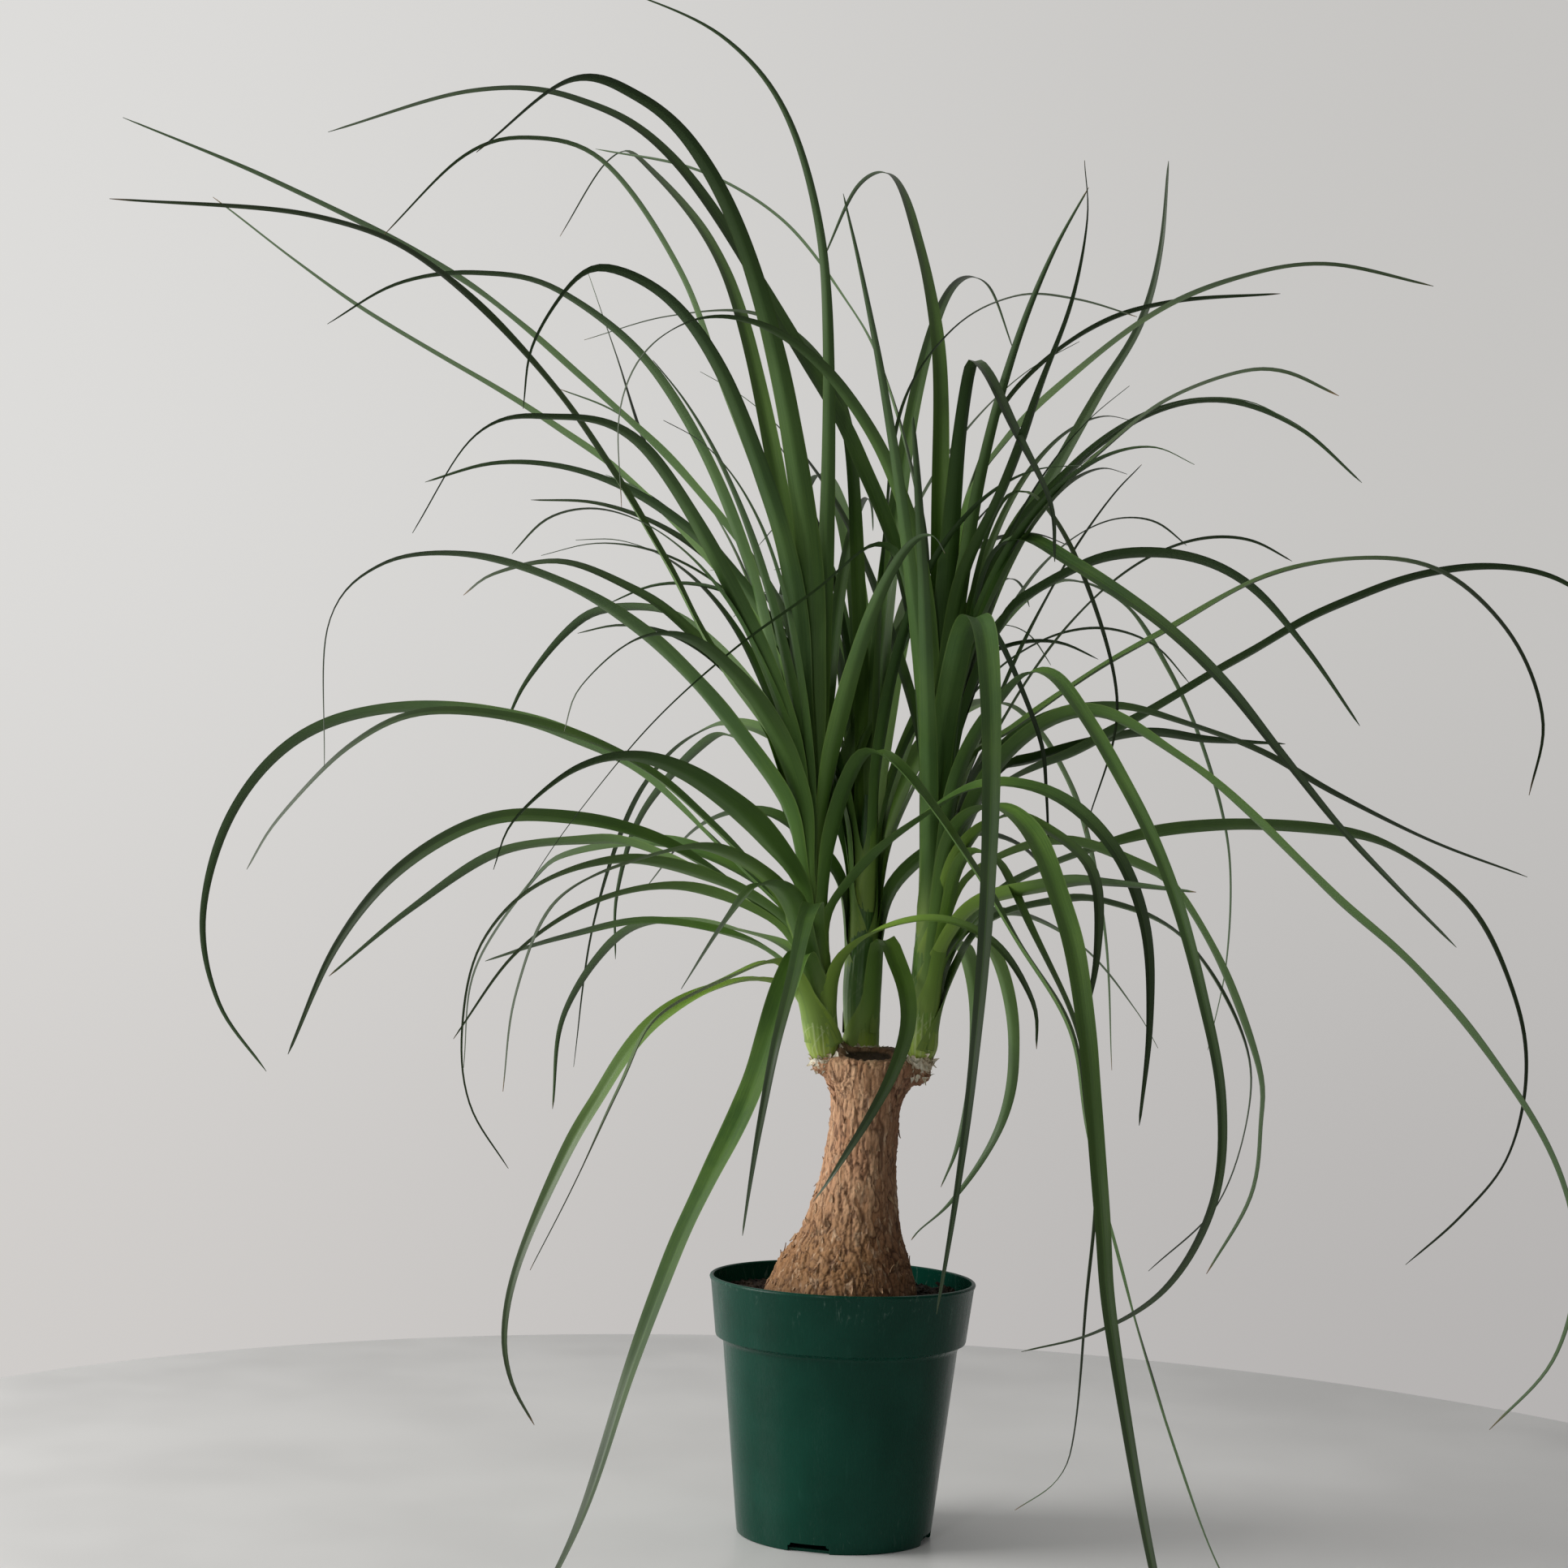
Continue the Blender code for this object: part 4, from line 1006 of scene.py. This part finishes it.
def make_husks(look, source):
    """Thin torn cups of dry sheath that stand round the foot of each shoot."""
    steps, rows, thin = 96, 8, 0.14
    points, faces = [], []
    for index, (x, y, foot, top, foot_radius, top_radius, ragged) in enumerate(HUSKS):
        start = len(points)
        for step in range(steps):
            angle = math.tau * step / steps
            about = Vector((1.5 * math.cos(angle), 1.5 * math.sin(angle), 9.0 * index))
            torn = top + ragged * (1.4 * noise.noise(about) + 0.9 * noise.noise(about * 3.7))
            flare = 0.9 * noise.noise(about * 1.9 + Vector((7.0, 0.0, 0.0)))
            section = []
            for row in range(rows):
                share = row / (rows - 1)
                reach = foot_radius + (top_radius - foot_radius) * share ** 1.5 + flare * share ** 2
                crease = 0.16 * math.sin(angle * 31 + 2.5 * index + 3 * share)
                section.append((reach + crease, foot + (torn - foot) * share))
            loop = [(reach + thin, height) for reach, height in section]
            loop += [(reach - thin, height) for reach, height in reversed(section)]
            for reach, height in loop:
                points.append(((x + reach * math.cos(angle)) * MM, (y + reach * math.sin(angle)) * MM,
                               height * MM))
        size = 2 * rows
        for step in range(steps):
            low, high = start + step * size, start + (step + 1) % steps * size
            for corner in range(size):
                after = (corner + 1) % size
                faces.append((low + corner, high + corner, high + after, low + after))
        for _ in range(14):
            angle = source.uniform(0, math.tau)
            out = Vector((math.cos(angle), math.sin(angle), 0))
            height = source.uniform(0.45, 0.9) * (top - foot) + foot
            base = Vector((x, y, height)) * MM + out * (foot_radius + 0.5 * (top_radius - foot_radius)) * MM
            hanging = Vector((source.uniform(-0.7, 0.7), source.uniform(-0.7, 0.7), source.choice((1, 1, -1))))
            length = source.uniform(0.35, 0.75) * (top - foot) * MM
            made, made_faces = flake(base, out, (hanging - out * hanging.dot(out)).normalized(), length,
                                     length * source.uniform(0.5, 0.9), source.uniform(0.3, 0.8), source)
            start = len(points)
            points += made
            faces += [tuple(start + k for k in face) for face in made_faces]
    mesh = mesh_of("papery_husks", points, faces, 60)
    add_piece(mesh.name, mesh, look)


def make_fibres(look, source):
    """Fine curled fibres torn loose round the collars."""
    points, faces = [], []
    for index in range(22):
        x, y, z, half_width, half_depth, _ = KNOBS[(2, 2, 0, 2, 1)[index % 5]]
        angle = source.uniform(0, math.tau)
        out = np.array((math.cos(angle), math.sin(angle), 0.0))
        start = np.array((x, y, z)) + out * (half_width - 1.0) + np.array((0, 0, source.uniform(1, 7)))
        length = source.uniform(4, 11)
        curl = source.uniform(0.5, 3.6)
        lean = source.uniform(-0.6, 0.9)
        line = [start]
        for step in range(12):
            slope = lean + curl * (step / 11 - 0.3)
            line.append(line[-1] + (out * math.cos(slope) + np.array((0, 0, 1)) * math.sin(slope))
                        * length / 12)
        made, made_faces = tube(np.array(line) * MM, 0.22 * MM)
        first = len(points)
        points += made
        faces += [tuple(first + k for k in face) for face in made_faces]
    mesh = mesh_of("collar_fibres", points, faces, 80)
    add_piece(mesh.name, mesh, look)


# ---------------------------------------------------------------- soil and pot

def soil_height(x, y):
    """Height of the soil's surface in metres at a place given in mm."""
    rough = noise.turbulence(Vector((x / 7, y / 7, 2.0)), 4, False, amplitude_scale=0.65)
    lump = noise.noise(Vector((x / 22, y / 22, 8.0)))
    return SOIL_TOP + (0.4 + 2.6 * (rough - 0.35) + 1.4 * lump) * MM


def make_soil(look):
    rings, segments = 74, 220
    outer = POT_BAND_FOOT_RADIUS + 1.2 * MM
    inner = 30 * MM
    top, under = [], []
    for ring in range(rings):
        radius = inner + (outer - inner) * ring / (rings - 1)
        for step in range(segments):
            angle = math.tau * step / segments
            x, y = radius * math.cos(angle), radius * math.sin(angle)
            top.append((x, y, soil_height(x / MM, y / MM)))
            under.append((x, y, SOIL_TOP - 9 * MM))
    points = top + under
    offset = len(top)
    faces = []
    for ring in range(rings - 1):
        for step in range(segments):
            after = (step + 1) % segments
            a, b = ring * segments + step, ring * segments + after
            c, d = b + segments, a + segments
            faces.append((a, d, c, b))
            faces.append((offset + a, offset + b, offset + c, offset + d))
    last = (rings - 1) * segments
    for step in range(segments):
        after = (step + 1) % segments
        faces.append((step, after, offset + after, offset + step))
        faces.append((last + after, last + step, offset + last + step, offset + last + after))
    mesh = mesh_of("soil_bed", points, faces, 60)
    add_piece(mesh.name, mesh, look, ["potting_soil"])


def make_crumbs(look, source):
    """Loose crumbs and bits of bark on the soil."""
    bm = bmesh.new()
    for _ in range(620):
        angle = source.uniform(0, math.tau)
        radius = math.sqrt(source.uniform(38 ** 2, 71.5 ** 2))
        x, y = radius * math.cos(angle), radius * math.sin(angle)
        size = source.uniform(0.5, 1.9) * MM
        long = source.uniform(0.6, 2.2)
        where = Matrix.Translation((x * MM, y * MM, soil_height(x, y) + 0.25 * size))
        turn = Matrix.Rotation(source.uniform(0, math.tau), 4, "Z") @ Matrix.Rotation(
            source.uniform(-0.6, 0.6), 4, "Y")
        shape = Matrix.Diagonal((size * long, size, size * source.uniform(0.5, 0.9), 1))
        made = bmesh.ops.create_icosphere(bm, subdivisions=1, radius=1, matrix=where @ turn @ shape)
        for vertex in made["verts"]:
            vertex.co += Vector([source.uniform(-0.18, 0.18) * size for _ in range(3)])
    mesh = bpy.data.meshes.new("soil_crumbs")
    bm.to_mesh(mesh)
    bm.free()
    mesh.shade_smooth()
    mesh.set_sharp_from_angle(angle=math.radians(40))
    add_piece("soil_crumbs", mesh, look)


def wall_radius(height):
    """Outer radius of the pot's tapered wall below its band."""
    return POT_BASE_RADIUS + height / POT_NECK_HEIGHT * (POT_NECK_RADIUS - POT_BASE_RADIUS)


def make_pot(look):
    inner_rim = POT_RIM_RADIUS - POT_LIP_ROLL
    band_step = POT_BAND_FOOT_HEIGHT - 0.6 * MM
    profile = [
        (0, 0.6 * MM), (44 * MM, 0.6 * MM), (47 * MM, 0), (POT_BASE_RADIUS - 1 * MM, 0),
        (POT_BASE_RADIUS - 0.3 * MM, 0.3 * MM), (POT_BASE_RADIUS, 1 * MM),
        (wall_radius(8 * MM), 8 * MM), (wall_radius(40 * MM), 40 * MM),
        (wall_radius(75 * MM), 75 * MM), (POT_NECK_RADIUS - 0.2 * MM, POT_NECK_HEIGHT - 1.5 * MM),
        (POT_NECK_RADIUS + 0.6 * MM, POT_NECK_HEIGHT + 0.2 * MM),
        (POT_BAND_FOOT_RADIUS - 1.2 * MM, band_step), (POT_BAND_FOOT_RADIUS - 0.3 * MM, band_step + 0.3 * MM),
        (POT_BAND_FOOT_RADIUS, band_step + 1.2 * MM),
        (POT_RIM_RADIUS - 0.9 * MM, POT_HEIGHT - POT_LIP_ROLL - 0.9 * MM),
        (POT_RIM_RADIUS - 0.35 * MM, POT_HEIGHT - POT_LIP_ROLL),
        (POT_RIM_RADIUS, POT_HEIGHT - 1.3 * MM), (POT_RIM_RADIUS - 0.25 * MM, POT_HEIGHT - 0.55 * MM),
        (POT_RIM_RADIUS - 0.8 * MM, POT_HEIGHT - 0.1 * MM), (inner_rim + 0.7 * MM, POT_HEIGHT),
        (inner_rim + 0.1 * MM, POT_HEIGHT - 0.5 * MM), (inner_rim, POT_HEIGHT - 1.3 * MM),
        (inner_rim + 0.5 * MM, POT_HEIGHT - POT_LIP_ROLL),
        (POT_BAND_FOOT_RADIUS - POT_WALL, POT_BAND_FOOT_HEIGHT + 1 * MM),
        (POT_NECK_RADIUS - POT_WALL, POT_NECK_HEIGHT + 1 * MM),
        (wall_radius(8 * MM) - POT_WALL, 8 * MM), (wall_radius(POT_FLOOR) - POT_WALL, POT_FLOOR),
        (0, POT_FLOOR),
    ]
    shell = turned_mesh("pot_shell", profile, 192)
    maker = bpy.data.objects.new("pot_maker", shell)
    bpy.context.scene.collection.objects.link(maker)
    cutters = []
    for index in range(NOTCH_COUNT):
        angle = math.radians(NOTCH_FIRST_DEGREES + 360 * index / NOTCH_COUNT)
        bm = bmesh.new()
        size = Matrix.Diagonal((NOTCH_DEPTH, NOTCH_WIDTH, 2 * NOTCH_HEIGHT, 1))
        bmesh.ops.create_cube(bm, size=1, matrix=size)
        upper = [edge for edge in bm.edges
                 if all(v.co.z > 0 for v in edge.verts) and abs(edge.verts[0].co.x - edge.verts[1].co.x) > 1e-6]
        bmesh.ops.bevel(bm, geom=upper, offset=1.6 * MM, segments=3, affect="EDGES")
        cut = bpy.data.meshes.new(f"notch_{index}")
        bm.to_mesh(cut)
        bm.free()
        cutter = bpy.data.objects.new(f"notch_{index}", cut)
        bpy.context.scene.collection.objects.link(cutter)
        cutter.location = (POT_BASE_RADIUS * math.cos(angle), POT_BASE_RADIUS * math.sin(angle), 0)
        cutter.rotation_euler = (0, 0, angle)
        step = maker.modifiers.new(cutter.name, "BOOLEAN")
        step.operation = "DIFFERENCE"
        step.solver = "EXACT"
        step.object = cutter
        cutters.append(cutter)
    mesh = applied(maker)
    for extra in cutters + [maker]:
        bpy.data.objects.remove(extra)
    for vertex in mesh.vertices:
        angle = math.atan2(vertex.co.y, vertex.co.x)
        high = float(smooth_step(0.02, 0.146, vertex.co.z))
        sway = 0.35 * math.sin(2 * angle + 0.6) + 0.15 * math.sin(3 * angle + 2.0)
        grow = 1 + high * sway * MM / POT_RIM_RADIUS
        vertex.co.x *= grow
        vertex.co.y *= grow
    mesh.shade_smooth()
    mesh.set_sharp_from_angle(angle=math.radians(32))
    add_piece("green_pot", mesh, look, ["nursery_pot"])


# ---------------------------------------------------------------- stage

def plain_stage():
    floor_mesh = turned_mesh("floor_disc", [(0, -30 * MM), (0.70, -30 * MM), (0.72, -22 * MM), (0.725, -14 * MM),
                                            (0.72, -5 * MM), (0.70, 0), (0.35, 0), (0, 0)], 200)
    for polygon in floor_mesh.polygons:
        polygon.use_smooth = True
    floor_mesh.set_sharp_from_angle(angle=math.radians(50))
    made, tree, shader = new_material("pale_floor")
    place = node(tree, "ShaderNodeTexCoord").outputs["Object"]
    mottled = cloud(tree, place, 7.0, 2.0)
    pale = blend(tree, spread(tree, mottled, 0.3, 0.7), colour(0.72, 0.715, 0.71), colour(0.76, 0.755, 0.75))
    tree.links.new(pale, shader.inputs["Base Color"])
    tree.links.new(spread(tree, mottled, 0.3, 0.7, 0.28, 0.36), shader.inputs["Roughness"])
    floor_mesh.materials.append(made)
    floor = bpy.data.objects.new("pale_floor", floor_mesh)
    bpy.context.scene.collection.objects.link(floor)


def area_light(name, place, aim, size, energy, tint=(1.0, 1.0, 1.0), height=None):
    data = bpy.data.lights.new(name, "AREA")
    data.shape = "RECTANGLE"
    data.size = size
    data.size_y = height or size
    data.energy = energy
    data.color = tint
    lamp = bpy.data.objects.new(name, data)
    bpy.context.scene.collection.objects.link(lamp)
    lamp.location = place
    lamp.rotation_euler = (Vector(aim) - Vector(place)).to_track_quat("-Z", "Y").to_euler()


def soft_world():
    """A pale wall to the eye, painted brighter at the upper left and darker to the lower right as painted light,
    and soft light that comes mostly from the left.
    """
    world = bpy.data.worlds.new("soft_room")
    bpy.context.scene.world = world
    world.use_nodes = True
    tree = world.node_tree
    tree.nodes.clear()
    direction = node(tree, "ShaderNodeTexCoord").outputs["Generated"]
    parts = node(tree, "ShaderNodeSeparateXYZ", {0: direction}).outputs
    sideways = spread(tree, parts["X"], -0.36, 0.30)
    rising = spread(tree, parts["Z"], -0.20, 0.16)
    # The wall seen by the camera carries painted light: brighter at the upper left, darker to the right and
    # towards the bottom
    left_wall = blend(tree, rising, colour(0.640, 0.618, 0.600), colour(0.735, 0.727, 0.712))
    right_wall = blend(tree, rising, colour(0.460, 0.445, 0.438), colour(0.560, 0.550, 0.535))
    seen = blend(tree, sideways, left_wall, right_wall)
    from_left = spread(tree, parts["X"], -0.15, -1.0, 0.0, 1.0)
    from_wall = spread(tree, parts["Y"], 0.1, 1.0, 0.0, 0.26)
    from_above = spread(tree, parts["Z"], 0.1, 1.0, 0.0, 0.24)
    brightness = sum_of(tree, "ADD", sum_of(tree, "ADD", from_left, from_wall),
                        sum_of(tree, "ADD", from_above, 0.05))
    camera_ray = node(tree, "ShaderNodeLightPath").outputs["Is Camera Ray"]
    shown = node(tree, "ShaderNodeBackground", {"Color": seen, "Strength": 1.0})
    light = node(tree, "ShaderNodeBackground", {"Color": colour(1.0, 0.99, 0.97), "Strength": brightness})
    joined = node(tree, "ShaderNodeMixShader", {0: camera_ray, 1: light.outputs[0], 2: shown.outputs[0]})
    out = node(tree, "ShaderNodeOutputWorld")
    tree.links.new(joined.outputs[0], out.inputs["Surface"])


def make_camera():
    data = bpy.data.cameras.new("photo_view")
    data.lens = CAMERA_LENS
    data.sensor_width = SENSOR_WIDTH
    data.clip_end = 50
    camera = bpy.data.objects.new("photo_view", data)
    bpy.context.scene.collection.objects.link(camera)
    camera.matrix_world = (Matrix.Translation(CAMERA_PLACE)
                           @ Matrix.Rotation(math.radians(90 + CAMERA_PITCH_DEGREES), 4, "X")
                           @ Matrix.Rotation(math.radians(CAMERA_ROLL_DEGREES), 4, "Z"))
    bpy.context.scene.camera = camera


make_camera()
make_leaves(leaf_material())
shoot_look = shoot_material()
for shoot_side in SHOOTS:
    make_shoot(shoot_side, shoot_look)
trunk_piece = make_trunk(bark_material())
scatter = random.Random(5)
make_flakes("bark_flakes", trunk_piece, flake_material("dry_bark", (0.50, 0.33, 0.19), (0.28, 0.15, 0.08)),
            240, bark_flake, scatter)
pale_look = flake_material("pale_husk", (0.84, 0.79, 0.66), (0.60, 0.50, 0.35))
make_husks(pale_look, scatter)
make_flakes("collar_husks", trunk_piece, pale_look, 80, collar_flake, scatter)
make_fibres(pale_look, scatter)
soil_look = soil_material()
make_soil(soil_look)
make_crumbs(soil_look, scatter)
make_pot(pot_material())

plain_stage()
soft_world()
area_light("key", (-2.2, -0.45, 1.35), (0.0, 0.0, 0.3), 1.3, 46, (1.0, 0.99, 0.965))
area_light("fill", (1.2, -2.4, 1.3), (0.0, 0.0, 0.3), 1.2, 2.5, (0.96, 0.98, 1.0))
area_light("window", (-0.75, -2.2, 1.2), (0.0, 0.0, 0.3), 0.12, 4.5, (1.0, 1.0, 1.0), 1.2)
bpy.context.scene.view_settings.view_transform = "Standard"
bpy.context.scene.view_settings.look = "None"
